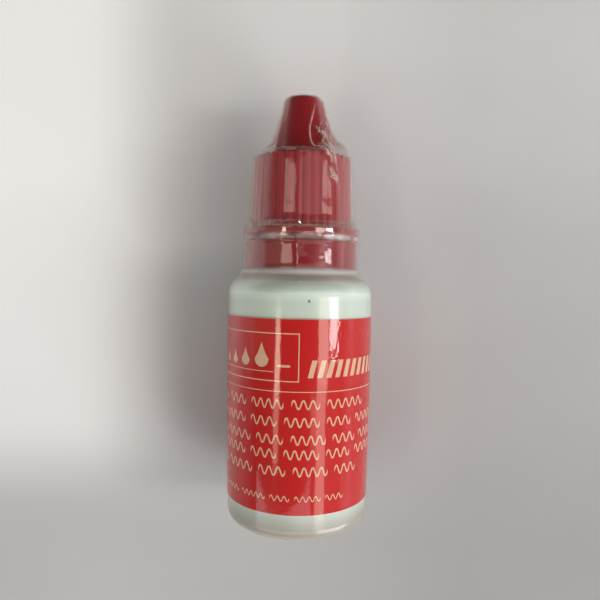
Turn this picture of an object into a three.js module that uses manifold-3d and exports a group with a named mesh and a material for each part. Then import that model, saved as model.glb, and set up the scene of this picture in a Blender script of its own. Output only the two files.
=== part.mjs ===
// Squeeze dropper bottle for stamp ink, with a ribbed screw cap, a tamper ring under it, a wrap
// label and a clear shrink film over the cap. Millimetres, +Z up, origin at the centre of the base.
//
// The bottle stands on its foot ring at z = 0 and every piece is coaxial with Z. The cap is shown
// screwed home. Its thread is right-handed: seen from above, the cap turns anticlockwise to open
// and rises THREAD_PITCH per turn.
//
// In names, _R is a radius, _Z a height above the base, and _Z0 and _Z1 the lower and upper ends.
// Every profile is a list of [radius, z] points.
import * as THREE from 'three';
import { mergeVertices } from 'three/addons/utils/BufferGeometryUtils.js';
import Module from 'manifold-3d';

const wasm = await Module();
wasm.setup();

// ---- driving dimensions -------------------------------------------------------------------
const SEGMENTS = 40;            // facets round the large coaxial pieces

// bottle body
const BODY_R = 11.5;            // radius at the shoulder end of the cylinder
const BODY_LOW_R = 11.3;        // radius at the label's lower edge (moulding draft)
const DRAFT_TOP_Z = 20.0;       // the draft starts below this height
const WALL = 0.9;               // thickness of the cylindrical wall
const BASE_CORNER = 2.8;        // rounding between wall and foot
const SHOULDER_Z = 36.35;       // end of the cylindrical wall

// neck
const NECK_ROOT_Z = 39.95;
const NECK_TOP_Z = 55.3;
const NECK_R = 6.1;
const NECK_BORE_R = 4.6;
const BEAD_R = 7.2;             // tamper bead that holds the ring down
const BEAD_Z0 = 42.45;
const BEAD_Z1 = 43.4;

// threads
const THREAD_PITCH = 3.0;
const THREAD_STEPS_PER_TURN = 20;
const THREAD_RUN_OUT = 0.14;    // turns over which each end of a thread grows to full size
const NECK_THREAD_R = 6.6;      // crest radius
const NECK_THREAD_Z = 47.3;     // start height of the crest centre
const NECK_THREAD_TURNS = 1.5;
const CAP_THREAD_R = 6.35;      // crest radius
const CAP_THREAD_TURNS = 1.25;
const THREAD_EMBED = { neck: 0.3, cap: 0.2 };  // depth of the thread root inside its wall

// ink
const INK_TOP_Z = 34.6;
const INK_GAP = 0.35;           // clearance to the cylindrical wall
const INK_SEGMENTS = 32;

// label
const LABEL_Z0 = 4.35;
const LABEL_Z1 = 33.0;
const LABEL_GAP = 0.03;
const LABEL_THICKNESS = 0.12;
const LABEL_SEAM = 0.04;        // fraction of a facet left open on each side of the seam

// dropper plug
const PLUG_R = NECK_BORE_R - 0.07;
const PLUG_BODY_R = PLUG_R - 0.1;  // away from the sealing band
const PLUG_FLANGE_R = 5.85;
const PLUG_FLANGE_Z0 = NECK_TOP_Z + 0.06;
const PLUG_FLANGE_Z1 = 56.3;
const PLUG_BOTTOM_Z = 49.6;
const PLUG_SEGMENTS = 24;
const NOZZLE_TOP_Z = 64.7;
const ORIFICE_R = 0.45;

// tamper ring
const RING_R = 9.05;
const RING_BORE_R = 7.95;
const RING_LIP_R = 6.75;
const RING_Z0 = 40.15;
const RING_Z1 = 44.65;
const RING_EDGE = 0.15;         // chamfer on the outer edges

// screw cap
const CAP_BORE_R = 6.8;
const CAP_CEILING_Z = 56.65;
const FLANGE_R = 9.2;
const FLANGE_Z0 = 45.65;
const FLANGE_Z1 = 46.6;
const FLANGE_EDGE = 0.12;       // chamfer on the flange edges
const PILOT_R = 7.25;           // sleeve that continues the skirt down inside the ring
const PILOT_Z = 43.95;
const SKIRT_LOW_R = 8.15;       // rib crest radius at the bottom of the skirt
const SKIRT_HIGH_R = 7.75;      // and at its top
const SKIRT_Z0 = FLANGE_Z0 + 0.4;  // starts inside the flange
const SKIRT_TOP_Z = 58.05;
const RIBS = 36;
const RIB_DEPTH = 0.36;
const RIB_STATIONS = [0, 0.2, 0.5, 0.8];  // points across one rib, as fractions of its width
const RIB_ROUNDNESS = 0.7;      // exponent of the rib's sine section; lower is fuller
const NOSE_FOOT_R = 4.75;
const NOSE_TIP_R = 2.95;        // near the tip
const NOSE_TOP_Z = 67.65;
const PIN_R = 0.3;              // seal pin in the drop orifice
const PIN_ROOT_Z = 65.75;

// break-off bridges between cap and ring, parted halfway up the groove
const BRIDGES = 8;
const BRIDGE_WIDTH = 0.7;
const BRIDGE_DEPTH = 0.55;      // radial size
const BRIDGE_R = 8.62;          // radius of the bridge centres
const BRIDGE_EMBED = 0.3;       // overlap with the ring or the flange
const BREAK_GAP = 0.12;
const GROOVE_MID_Z = (RING_Z1 + FLANGE_Z0) / 2;

// shrink film
const FILM_THICKNESS = 0.1;
const FILM_BOTTOM_Z = 36.75;

const MATERIALS = {
  bottle: { color: 0xdfe8df, roughness: 0.35 },
  ink: { color: 0x8f1018, roughness: 0.1 },
  label: { color: 0xb81c20, roughness: 0.3 },
  plug: { color: 0xeef0ee, roughness: 0.4 },
  cap: { color: 0x7c1420, roughness: 0.35 },
  film: { color: 0xffffff, roughness: 0.1, transparent: true, opacity: 0.25 },
};

// ---- helpers ------------------------------------------------------------------------------
const toVector = ([x, y]) => new THREE.Vector2(x, y);

const polar = (radius, angle) => (
  new THREE.Vector2(radius * Math.cos(angle), radius * Math.sin(angle))
);

// Closed revolved solid. The profile starts and ends on the axis, or is closed here.
function lathe(profile, segments = SEGMENTS) {
  const points = profile.map(toVector);
  const onAxis = points[0].x === 0 && points[points.length - 1].x === 0;
  if (!onAxis) points.push(points[0].clone());
  const geometry = new THREE.LatheGeometry(points, segments);
  geometry.rotateX(Math.PI / 2);
  return tidy(geometry);
}

function extrude(shape, depth, steps) {
  return new THREE.ExtrudeGeometry(shape, { depth, steps, bevelEnabled: false });
}

// Merge shared vertices, drop empty triangles and turn the faces outwards.
function tidy(geometry) {
  geometry.deleteAttribute('normal');
  geometry.deleteAttribute('uv');
  const merged = mergeVertices(geometry, 1e-4);
  const position = merged.getAttribute('position');
  const source = merged.getIndex().array;
  const index = [];
  for (let i = 0; i < source.length; i += 3) {
    const [a, b, c] = [source[i], source[i + 1], source[i + 2]];
    if (a !== b && b !== c && c !== a) index.push(a, b, c);
  }
  if (signedVolume(position, index) < 0) {
    for (let i = 0; i < index.length; i += 3) {
      [index[i + 1], index[i + 2]] = [index[i + 2], index[i + 1]];
    }
  }
  const result = new THREE.BufferGeometry();
  result.setAttribute('position', position);
  result.setIndex(index);
  return result;
}

// Enclosed volume, negative when the faces point inwards.
function signedVolume(position, index) {
  const corners = [new THREE.Vector3(), new THREE.Vector3(), new THREE.Vector3()];
  let total = 0;
  for (let i = 0; i < index.length; i += 3) {
    corners.forEach((corner, k) => corner.fromBufferAttribute(position, index[i + k]));
    total += corners[0].dot(corners[1].cross(corners[2])) / 6;
  }
  return total;
}

function toManifold(geometry) {
  const clean = tidy(geometry);
  return new wasm.Manifold(new wasm.Mesh({
    numProp: 3,
    vertProperties: new Float32Array(clean.getAttribute('position').array),
    triVerts: new Uint32Array(clean.getIndex().array),
  }));
}

function toGeometry(manifold) {
  const mesh = manifold.getMesh();
  const positions = new Float32Array(mesh.vertProperties);
  const geometry = new THREE.BufferGeometry();
  geometry.setAttribute('position', new THREE.BufferAttribute(positions, 3));
  geometry.setIndex(new THREE.BufferAttribute(new Uint32Array(mesh.triVerts), 1));
  return geometry;
}

// Move every vertex of a geometry; move() changes the vector it is given.
function warp(geometry, move) {
  const position = geometry.getAttribute('position');
  const vertex = new THREE.Vector3();
  for (let i = 0; i < position.count; i++) {
    vertex.fromBufferAttribute(position, i);
    move(vertex);
    position.setXYZ(i, vertex.x, vertex.y, vertex.z);
  }
  return geometry;
}

// Helical ridge of trapezoid section. It is extruded straight, one unit of length per turn and
// with x from 0 at the root to 1 at the crest, then bent round the axis and raised by the pitch.
function thread({ rootR, crestR, rootHalf, crestHalf, startZ, turns }) {
  const section = new THREE.Shape([
    [0, -rootHalf], [1, -crestHalf], [1, crestHalf], [0, rootHalf],
  ].map(toVector));
  const straight = extrude(section, turns, Math.round(turns * THREAD_STEPS_PER_TURN));
  return warp(straight, (vertex) => {
    const turn = vertex.z;
    const fromEnd = Math.min(turn, turns - turn);
    const swell = Math.min(1, 0.2 + fromEnd / THREAD_RUN_OUT);
    const radius = rootR + (crestR - rootR) * vertex.x * swell;
    const rise = vertex.y * (0.6 + 0.4 * swell);
    const angle = turn * 2 * Math.PI;
    vertex.set(
      radius * Math.cos(angle),
      radius * Math.sin(angle),
      startZ + rise + THREAD_PITCH * turn,
    );
  });
}

// Outer radius of the cylindrical wall; the draft carries on below the label.
function bodyRadius(z) {
  if (z >= DRAFT_TOP_Z) return BODY_R;
  return BODY_LOW_R + (BODY_R - BODY_LOW_R) * (z - LABEL_Z0) / (DRAFT_TOP_Z - LABEL_Z0);
}

// ---- bottle body --------------------------------------------------------------------------
// Quarter round from the foot, at z = 0, up to the wall.
function baseCorner(steps) {
  const centreR = bodyRadius(BASE_CORNER) - BASE_CORNER;
  return Array.from({ length: steps + 1 }, (_, i) => {
    const offset = polar(BASE_CORNER, (i / steps - 1) * Math.PI / 2);
    return [centreR + offset.x, BASE_CORNER + offset.y];
  });
}

// The foot is a flat ring round a push-up.
function makeBottle() {
  const outer = [
    [0, 1.0], [4.6, 0.85], [6.1, 0.35], [6.7, 0],
    ...baseCorner(5),
    [BODY_R, DRAFT_TOP_Z],
    // shoulder
    [BODY_R, SHOULDER_Z], [11.3, 37.15], [10.84, 38.0], [9.96, 38.95], [8.8, 39.6],
    [7.4, NECK_ROOT_Z],
    // neck and bead
    [6.5, 40.1], [NECK_R, 40.5], [NECK_R, BEAD_Z0],
    [BEAD_R, BEAD_Z0 + 0.1], [BEAD_R, BEAD_Z0 + 0.45], [NECK_R + 0.1, BEAD_Z1],
    [NECK_R, BEAD_Z1 + 0.4], [NECK_R, NECK_TOP_Z - 0.25], [NECK_R - 0.25, NECK_TOP_Z],
  ];
  const inner = [
    [NECK_BORE_R, NECK_TOP_Z], [NECK_BORE_R, 42.6], [NECK_BORE_R + 0.5, 40.6],
    [7.1, 39.0], [9.3, 37.9], [10.3, 36.9], [BODY_R - WALL, 35.8],
    [BODY_LOW_R - WALL, LABEL_Z0 + 0.6],
    [9.9, 2.9], [8.4, 1.6], [6.2, 1.6], [4.6, 1.9], [0, 2.05],
  ];
  const neckThread = thread({
    rootR: NECK_R - THREAD_EMBED.neck,
    crestR: NECK_THREAD_R,
    rootHalf: 0.72,
    crestHalf: 0.36,
    startZ: NECK_THREAD_Z,
    turns: NECK_THREAD_TURNS,
  });
  return toGeometry(toManifold(lathe([...outer, ...inner])).add(toManifold(neckThread)));
}

// ---- ink ----------------------------------------------------------------------------------
// The bottle is filled to just under the shoulder.
function makeInk() {
  return lathe([
    [0, 2.45], [4.7, 2.3], [6.3, 2.0], [8.2, 2.0], [9.5, 3.15],
    [BODY_LOW_R - WALL - INK_GAP, 5.1], [BODY_R - WALL - INK_GAP, INK_TOP_Z], [0, INK_TOP_Z],
  ], INK_SEGMENTS);
}

// ---- label --------------------------------------------------------------------------------
// One face of the sheet, anticlockwise from the seam at +Y. Its corners share the wall's facet
// corners, so the gap under the sheet is even.
function labelFace(radius) {
  const facet = 2 * Math.PI / SEGMENTS;
  const nextCorner = new THREE.Vector2(-radius * Math.sin(facet), radius * Math.cos(facet));
  const start = new THREE.Vector2(0, radius).lerp(nextCorner, LABEL_SEAM);
  const points = [start];
  for (let i = 1; i < SEGMENTS; i++) points.push(polar(radius, Math.PI / 2 + i * facet));
  points.push(new THREE.Vector2(-start.x, start.y));
  return points;
}

// A thin sheet wrapped round the wall, with a narrow seam at the back (+Y). It is extruded in
// two unit steps, which are then moved to the label's heights and scaled to follow the draft.
function makeLabel() {
  const innerR = BODY_R + LABEL_GAP;
  const section = new THREE.Shape([
    ...labelFace(innerR + LABEL_THICKNESS),
    ...labelFace(innerR).reverse(),
  ]);
  const heights = [LABEL_Z0, DRAFT_TOP_Z, LABEL_Z1];
  return tidy(warp(extrude(section, 2, 2), (vertex) => {
    const z = heights[Math.round(vertex.z)];
    const scale = bodyRadius(z) / BODY_R;
    vertex.set(vertex.x * scale, vertex.y * scale, z);
  }));
}

// ---- dropper plug -------------------------------------------------------------------------
// Sits in the neck bore with its flange over the neck rim. A tapered passage leads to the drop
// orifice.
function makePlug() {
  return lathe([
    // stem with its sealing band
    [3.6, PLUG_BOTTOM_Z], [4.2, PLUG_BOTTOM_Z], [PLUG_BODY_R, 50.3], [PLUG_BODY_R, 51.4],
    [PLUG_R, 51.8], [PLUG_R, 52.4], [PLUG_BODY_R, 52.8], [PLUG_BODY_R, PLUG_FLANGE_Z0],
    // flange
    [PLUG_FLANGE_R, PLUG_FLANGE_Z0], [PLUG_FLANGE_R, PLUG_FLANGE_Z1 - 0.2],
    [PLUG_FLANGE_R - 0.2, PLUG_FLANGE_Z1],
    // nozzle
    [3.1, PLUG_FLANGE_Z1], [2.75, 57.1], [1.55, 63.9], [1.35, 64.5], [1.05, NOZZLE_TOP_Z],
    // orifice and passage
    [0.8, NOZZLE_TOP_Z], [ORIFICE_R, 64.2], [ORIFICE_R, 62.6], [1.75, 56.4], [3.5, 54.4],
  ], PLUG_SEGMENTS);
}

// ---- bridge stubs -------------------------------------------------------------------------
function bridgeStubs(z0, z1) {
  const stubs = Array.from({ length: BRIDGES }, (_, i) => {
    const box = new THREE.BoxGeometry(BRIDGE_DEPTH, BRIDGE_WIDTH, z1 - z0);
    box.translate(BRIDGE_R, 0, (z0 + z1) / 2);
    box.rotateZ((i + 0.5) * 2 * Math.PI / BRIDGES);
    return toManifold(box);
  });
  return stubs.reduce((all, stub) => all.add(stub));
}

// ---- tamper ring --------------------------------------------------------------------------
// A plain band with an inner lip that catches under the neck bead.
function makeRing() {
  const band = lathe([
    [RING_LIP_R, 41.35], [RING_BORE_R, 41.05], [RING_BORE_R, RING_Z0],
    [RING_R - RING_EDGE, RING_Z0], [RING_R, RING_Z0 + RING_EDGE],
    [RING_R, RING_Z1 - RING_EDGE], [RING_R - RING_EDGE, RING_Z1],
    [RING_BORE_R, RING_Z1], [RING_BORE_R, 42.9], [RING_LIP_R, 42.05],
  ]);
  const stubs = bridgeStubs(RING_Z1 - BRIDGE_EMBED, GROOVE_MID_Z - BREAK_GAP / 2);
  return toGeometry(toManifold(band).add(stubs));
}

// ---- screw cap ----------------------------------------------------------------------------
// Ribbed skirt: one lobe per rib, drawn in towards the top.
function capSkirt() {
  const points = [];
  for (let rib = 0; rib < RIBS; rib++) {
    for (const station of RIB_STATIONS) {
      const height = RIB_DEPTH * Math.pow(Math.sin(Math.PI * station), RIB_ROUNDNESS);
      const angle = (rib + station) * 2 * Math.PI / RIBS;
      points.push(polar(SKIRT_LOW_R - RIB_DEPTH + height, angle));
    }
  }
  const skirtHeight = SKIRT_TOP_Z - SKIRT_Z0;
  return warp(extrude(new THREE.Shape(points), skirtHeight, 1), (vertex) => {
    const scale = 1 + (SKIRT_HIGH_R / SKIRT_LOW_R - 1) * (vertex.z / skirtHeight);
    vertex.set(vertex.x * scale, vertex.y * scale, vertex.z + SKIRT_Z0);
  });
}

// Pilot sleeve, flange, core of the skirt and nose, before hollowing.
function capCore() {
  return lathe([
    [0, PILOT_Z], [PILOT_R, PILOT_Z], [PILOT_R, FLANGE_Z0],
    [FLANGE_R - FLANGE_EDGE, FLANGE_Z0], [FLANGE_R, FLANGE_Z0 + FLANGE_EDGE],
    [FLANGE_R, FLANGE_Z1 - FLANGE_EDGE], [FLANGE_R - FLANGE_EDGE, FLANGE_Z1],
    [7.6, FLANGE_Z1 + 0.02], [7.2, SKIRT_TOP_Z - 0.3],
    [NOSE_FOOT_R + 0.3, SKIRT_TOP_Z - 0.02], [NOSE_FOOT_R, SKIRT_TOP_Z + 0.3],
    [NOSE_TIP_R + 0.05, NOSE_TOP_Z - 0.9], [NOSE_TIP_R - 0.12, NOSE_TOP_Z - 0.4],
    [NOSE_TIP_R - 0.6, NOSE_TOP_Z - 0.07], [1.6, NOSE_TOP_Z], [0, NOSE_TOP_Z],
  ]);
}

// Bore, ceiling over the plug flange, and tapered nose hollow round the seal pin. It starts
// below the pilot so that the cut runs clear.
function capHollow() {
  const startZ = PILOT_Z - 1;
  return lathe([
    [0, startZ], [CAP_BORE_R, startZ], [CAP_BORE_R, 55.9],
    [CAP_BORE_R - 0.5, CAP_CEILING_Z], [3.75, CAP_CEILING_Z],
    [3.5, 57.4], [2.05, 65.2], [1.7, PIN_ROOT_Z],
    [PIN_R, PIN_ROOT_Z], [PIN_R - 0.06, 63.8], [0, 63.7],
  ]);
}

function makeCap() {
  const capThread = thread({
    rootR: CAP_BORE_R + THREAD_EMBED.cap,
    crestR: CAP_THREAD_R,
    rootHalf: 0.62,
    crestHalf: 0.3,
    startZ: NECK_THREAD_Z + THREAD_PITCH / 2,
    turns: CAP_THREAD_TURNS,
  });
  const stubs = bridgeStubs(GROOVE_MID_Z + BREAK_GAP / 2, FLANGE_Z0 + BRIDGE_EMBED);
  const cap = toManifold(capSkirt())
    .add(toManifold(capCore()))
    .subtract(toManifold(capHollow()))
    .add(toManifold(capThread))
    .add(stubs);
  return toGeometry(cap);
}

// ---- shrink film --------------------------------------------------------------------------
// A thin bell, open at both ends and nearly straight past the ring. It bridges the steps between
// nose and skirt, skirt and flange, and ring and shoulder.
const FILM_INNER = [
  [11.52, FILM_BOTTOM_Z], [11.4, 37.35], [10.98, 38.2], [10.1, 39.2], [9.5, 39.95], [9.32, 40.7],
  [9.34, 46.75], [8.75, 47.5], [8.32, 48.6], [7.93, 57.9], [7.62, 58.4],
  [6.3, 59.6], [5.2, 60.9], [4.45, 62.5], [3.2, 66.7], [2.8, 67.5], [2.2, 67.8],
];

function makeFilm() {
  // Offset outwards, square to the line between each point's neighbours.
  const outer = FILM_INNER.map(([radius, z], i) => {
    const before = toVector(FILM_INNER[Math.max(0, i - 1)]);
    const after = toVector(FILM_INNER[Math.min(FILM_INNER.length - 1, i + 1)]);
    const along = after.sub(before).normalize();
    return [radius + along.y * FILM_THICKNESS, z - along.x * FILM_THICKNESS];
  });
  outer[0][1] = FILM_BOTTOM_Z;  // keep the lower edge level
  return lathe([...outer, ...FILM_INNER.toReversed()]);
}

// ---- assembly -----------------------------------------------------------------------------
const group = new THREE.Group();

function addPiece(name, geometry, look) {
  const material = new THREE.MeshStandardMaterial({ metalness: 0, ...look });
  const mesh = new THREE.Mesh(geometry, material);
  mesh.name = name;
  group.add(mesh);
}

addPiece('bottle_body', makeBottle(), MATERIALS.bottle);
addPiece('ink_fill', makeInk(), MATERIALS.ink);
addPiece('label', makeLabel(), MATERIALS.label);
addPiece('dropper_plug', makePlug(), MATERIALS.plug);
addPiece('tamper_ring', makeRing(), MATERIALS.cap);
addPiece('screw_cap', makeCap(), MATERIALS.cap);
addPiece('shrink_film', makeFilm(), MATERIALS.film);

export default group;
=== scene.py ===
"""A small ink bottle with a wrapped label, dropper plug, tamper ring, ribbed screw cap and a
clear shrink film. It stands on z = 0 with its axis on Z. The front faces -Y, +X is its right.
Shapes are in millimetres and angles run from the front towards +X, unless noted. Materials,
lights and camera are in metres.
"""
import math

import bpy
import numpy as np
from mathutils import Matrix, Vector


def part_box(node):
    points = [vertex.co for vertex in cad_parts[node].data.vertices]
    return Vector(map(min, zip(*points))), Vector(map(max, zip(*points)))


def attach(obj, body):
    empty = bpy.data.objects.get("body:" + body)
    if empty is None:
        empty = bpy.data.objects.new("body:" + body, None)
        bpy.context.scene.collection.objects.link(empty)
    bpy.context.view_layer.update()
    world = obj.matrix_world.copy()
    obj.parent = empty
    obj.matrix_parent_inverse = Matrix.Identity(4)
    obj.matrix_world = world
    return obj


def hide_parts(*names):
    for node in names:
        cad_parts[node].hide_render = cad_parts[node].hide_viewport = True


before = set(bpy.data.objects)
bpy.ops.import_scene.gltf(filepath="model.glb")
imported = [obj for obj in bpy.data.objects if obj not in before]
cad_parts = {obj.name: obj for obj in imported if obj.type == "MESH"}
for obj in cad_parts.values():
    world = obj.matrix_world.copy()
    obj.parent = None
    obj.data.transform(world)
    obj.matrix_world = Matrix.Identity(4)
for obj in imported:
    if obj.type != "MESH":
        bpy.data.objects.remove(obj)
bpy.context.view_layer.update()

MM = 0.001
TAU = 2 * math.pi


def node_heights(node):
    lo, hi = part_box(node)
    return lo.z / MM, hi.z / MM


def node_radius(node):
    lo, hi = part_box(node)
    return (hi.x - lo.x) / 2 / MM


# ---- driving sizes ---------------------------------------------------------------------------
BODY_TOP = node_heights("bottle_body")[1]       # neck rim
BODY_R = node_radius("bottle_body")
INK_TOP = node_heights("ink_fill")[1]
INK_R = node_radius("ink_fill")
LABEL_LOW, LABEL_TOP = node_heights("label")
RING_LOW = node_heights("tamper_ring")[0]
RING_TOP = RING_LOW + 4.5
CAP_LOW, CAP_TOP = node_heights("screw_cap")
FLANGE_LOW, FLANGE_TOP = CAP_LOW + 1.7, CAP_LOW + 2.65
SKIRT_TOP = CAP_LOW + 14.1                      # top of the ribbed skirt
GROOVE_Z = (RING_TOP + FLANGE_LOW) / 2          # middle of the gap between ring and flange
PLUG_LOW, PLUG_TOP = node_heights("dropper_plug")
FILM_LOW, FILM_TOP = node_heights("shrink_film")
WALL_STRAIGHT_Z = 20.0                          # the wall has no draft above this height
WALL_DRAFT = 0.2
NECK_R = 6.1
BORE_R = 6.8                                    # inside of the cap
PITCH = 3.0
THREAD_Z = BODY_TOP - 8.0
THREAD_ROW = 0.11                               # mesh row spacing along both threads


# ---- mesh helpers: profiles are (radius, height) ---------------------------------------------
def catmull(points, steps):
    """Smooth curve through the points. steps is one count, or one for each span."""
    points = np.array(points, float)
    last = len(points) - 1
    curve = []
    for i in range(last):
        before, start = points[max(i - 1, 0)], points[i]
        end, after = points[i + 1], points[min(i + 2, last)]
        count = steps if np.isscalar(steps) else steps[i]
        for j in range(count):
            t = j / count
            curve.append(0.5 * ((2 * start) + (end - before) * t
                                + (2 * before - 5 * start + 4 * end - after) * t * t
                                + (3 * start - before - 3 * end + after) * t ** 3))
    curve.append(points[-1])
    return [tuple(p) for p in curve]


def fillet(points, closed=False, steps=6):
    """Corners given as (r, z, rounding) become arcs, with a support row on each side."""
    corners = [np.array(p[:2], float) for p in points]
    count = len(corners)
    curve = []
    for i, (corner, point) in enumerate(zip(corners, points)):
        rounding = point[2] if len(point) > 2 else 0.0
        if rounding <= 0 or (not closed and i in (0, count - 1)):
            curve.append(corner)
            continue
        back, ahead = corners[i - 1] - corner, corners[(i + 1) % count] - corner
        back_len, ahead_len = np.linalg.norm(back), np.linalg.norm(ahead)
        back, ahead = back / back_len, ahead / ahead_len
        half = math.acos(max(-1, min(1, float(back @ ahead)))) / 2
        if half > 1.54 or half < 0.03:          # too straight or too sharp to round
            curve.append(corner)
            continue
        reach = min(rounding / math.tan(half), 0.45 * back_len, 0.45 * ahead_len)
        arc_r = reach * math.tan(half)
        start, end = corner + back * reach, corner + ahead * reach
        bisector = (back + ahead) / np.linalg.norm(back + ahead)
        centre = corner + bisector * (arc_r / math.sin(half))
        support = min(0.12, 0.3 * reach)
        if back_len * 0.5 > reach + support:
            curve.append(start + back * support)
        spoke0, spoke1 = start - centre, end - centre
        sweep = math.acos(max(-1, min(1, float(spoke0 @ spoke1) / (arc_r * arc_r))))
        for k in range(steps + 1):
            t = k / steps
            curve.append(centre + (math.sin((1 - t) * sweep) * spoke0
                                   + math.sin(t * sweep) * spoke1) / math.sin(sweep))
        if ahead_len * 0.5 > reach + support:
            curve.append(end + ahead * support)
    return [tuple(p) for p in curve]


def make_object(name, verts_mm, faces, smooth_deg=38):
    """Linked object with outward faces, smooth but for edges sharper than smooth_deg."""
    mesh = bpy.data.meshes.new(name)
    mesh.from_pydata((np.asarray(verts_mm, float) * MM).tolist(), [], faces)
    mesh.validate()
    mesh.update()
    ob = bpy.data.objects.new(name, mesh)
    bpy.context.scene.collection.objects.link(ob)
    mesh.calc_loop_triangles()
    corners = np.empty(len(mesh.loop_triangles) * 3, np.int32)
    mesh.loop_triangles.foreach_get("vertices", corners)
    coords = np.empty(len(mesh.vertices) * 3)
    mesh.vertices.foreach_get("co", coords)
    tri = coords.reshape(-1, 3)[corners].reshape(-1, 3, 3)
    volume = float(np.einsum("ij,ij->i", tri[:, 0], np.cross(tri[:, 1], tri[:, 2])).sum())
    if volume < 0:
        mesh.flip_normals()
    mesh.shade_smooth()
    mesh.set_sharp_from_angle(angle=math.radians(smooth_deg))
    return ob


def revolve_data(profile, segments, shape=None, closed=False):
    """Vertices and faces of a revolved profile. shape(R, Z, T) may move the grid of radii R
    and heights Z, with T the angles from +X."""
    profile = np.array(profile, float)
    count = len(profile)
    turn = np.linspace(0, TAU, segments, endpoint=False)
    R = np.repeat(profile[:, :1], segments, 1)
    Z = np.repeat(profile[:, 1:2], segments, 1)
    if shape:
        R, Z = shape(R, Z, np.repeat(turn[None], count, 0))
    verts, rows = [], []
    for i in range(count):
        if profile[i, 0] < 1e-6:
            rows.append([len(verts)])
            verts.append((0.0, 0.0, float(Z[i, 0])))
        else:
            rows.append(list(range(len(verts), len(verts) + segments)))
            verts.extend(zip((R[i] * np.cos(turn)).tolist(), (R[i] * np.sin(turn)).tolist(),
                             Z[i].tolist()))
    faces = []
    for i in range(count if closed else count - 1):
        row, above = rows[i], rows[(i + 1) % count]
        for j in range(segments):
            k = (j + 1) % segments
            if len(row) == 1:
                faces.append((row[0], above[k], above[j]))
            elif len(above) == 1:
                faces.append((row[j], row[k], above[0]))
            else:
                faces.append((row[j], row[k], above[k], above[j]))
    return verts, faces


def join(name, parts, smooth_deg=38):
    """One object from several (verts, faces) parts."""
    verts, faces = [], []
    for part_verts, part_faces in parts:
        first = len(verts)
        verts.extend(part_verts)
        faces.extend([tuple(i + first for i in face) for face in part_faces])
    return make_object(name, verts, faces, smooth_deg)


def outward(verts, faces):
    """Turns a closed mesh's faces outwards."""
    v = np.array(verts, float)
    volume = 0.0
    for face in faces:
        for k in range(1, len(face) - 1):
            volume += float(np.dot(v[face[0]], np.cross(v[face[k]], v[face[k + 1]])))
    return verts, faces if volume > 0 else [tuple(reversed(face)) for face in faces]


def slab_faces(across, up, index):
    """Faces of a closed two-layer grid of across x up cells. index(layer, i, j) is a vertex."""
    faces = []
    for i in range(across):
        k = i + 1
        for j in range(up):
            faces.append((index(1, i, j), index(1, k, j), index(1, k, j + 1), index(1, i, j + 1)))
            faces.append((index(0, i, j), index(0, i, j + 1), index(0, k, j + 1), index(0, k, j)))
        faces.append((index(0, i, 0), index(0, k, 0), index(1, k, 0), index(1, i, 0)))
        faces.append((index(0, i, up), index(1, i, up), index(1, k, up), index(0, k, up)))
    for j in range(up):
        k, end = j + 1, across
        faces.append((index(0, 0, j), index(1, 0, j), index(1, 0, k), index(0, 0, k)))
        faces.append((index(0, end, j), index(0, end, k), index(1, end, k), index(1, end, j)))
    return faces


def smooth01(x):
    x = np.clip(x, 0, 1)
    return x * x * (3 - 2 * x)


def rise(value, start, length):
    """Smooth step from 0 to 1."""
    return smooth01((value - start) / length)


def window(value, up, down):
    """Smooth step up, then down again. Each step is (start, length)."""
    return rise(value, *up) * (1 - rise(value, *down))


def bell(value, centre, width):
    return np.exp(-((value - centre) / width) ** 2)


def helix_ridge(T, Z, start, turns, half_root, half_crest):
    """0..1 height of a helical thread ridge over a grid of angles and heights."""
    ridge = np.zeros_like(Z)
    for k in range(int(math.ceil(turns)) + 1):
        turn = T / TAU + k
        off = np.abs(Z - (start + PITCH * turn))
        flank = smooth01((half_root - off) / (half_root - half_crest))
        run_out = smooth01(np.minimum(turn, turns - turn) / 0.1)
        ridge = np.maximum(ridge, flank * run_out)
    return ridge


def waves(T, Z, seed, count=7, k_theta=(2, 9), k_z=(0.1, 0.9)):
    """Smooth repeatable unevenness over angle and height, about -1..1."""
    rng = np.random.default_rng(seed)
    total = np.zeros_like(Z)
    for _ in range(count):
        lobes = int(rng.integers(k_theta[0], k_theta[1] + 1))
        rate = rng.uniform(*k_z)
        total += (rng.uniform(0.5, 1) * np.sin(lobes * T + rng.uniform(0, TAU))
                  * np.sin(rate * Z * TAU / 4 + rng.uniform(0, TAU)))
    return total / (count * 0.45)


def uneven_rim(R, Z, T, amount, seed):
    """Slight waver on the widest faces of the ring and the cap."""
    return R + np.where(R > 8.9, amount * waves(T, Z, seed, k_theta=(2, 6)), 0.0)


# ---- bottle: blown shell with shoulder, neck, bead and thread --------------------------------
def wall_r(z):
    """Outer radius of the cylindrical wall, with its moulding draft."""
    z = np.asarray(z, float)
    drafted = (BODY_R - WALL_DRAFT) + WALL_DRAFT * (z - LABEL_LOW) / (WALL_STRAIGHT_Z - LABEL_LOW)
    return np.where(z >= WALL_STRAIGHT_Z, BODY_R, drafted)


HEEL_R = 2.8                                    # rounding between base and wall
HEEL_WALL_R = float(wall_r(HEEL_R))


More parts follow.
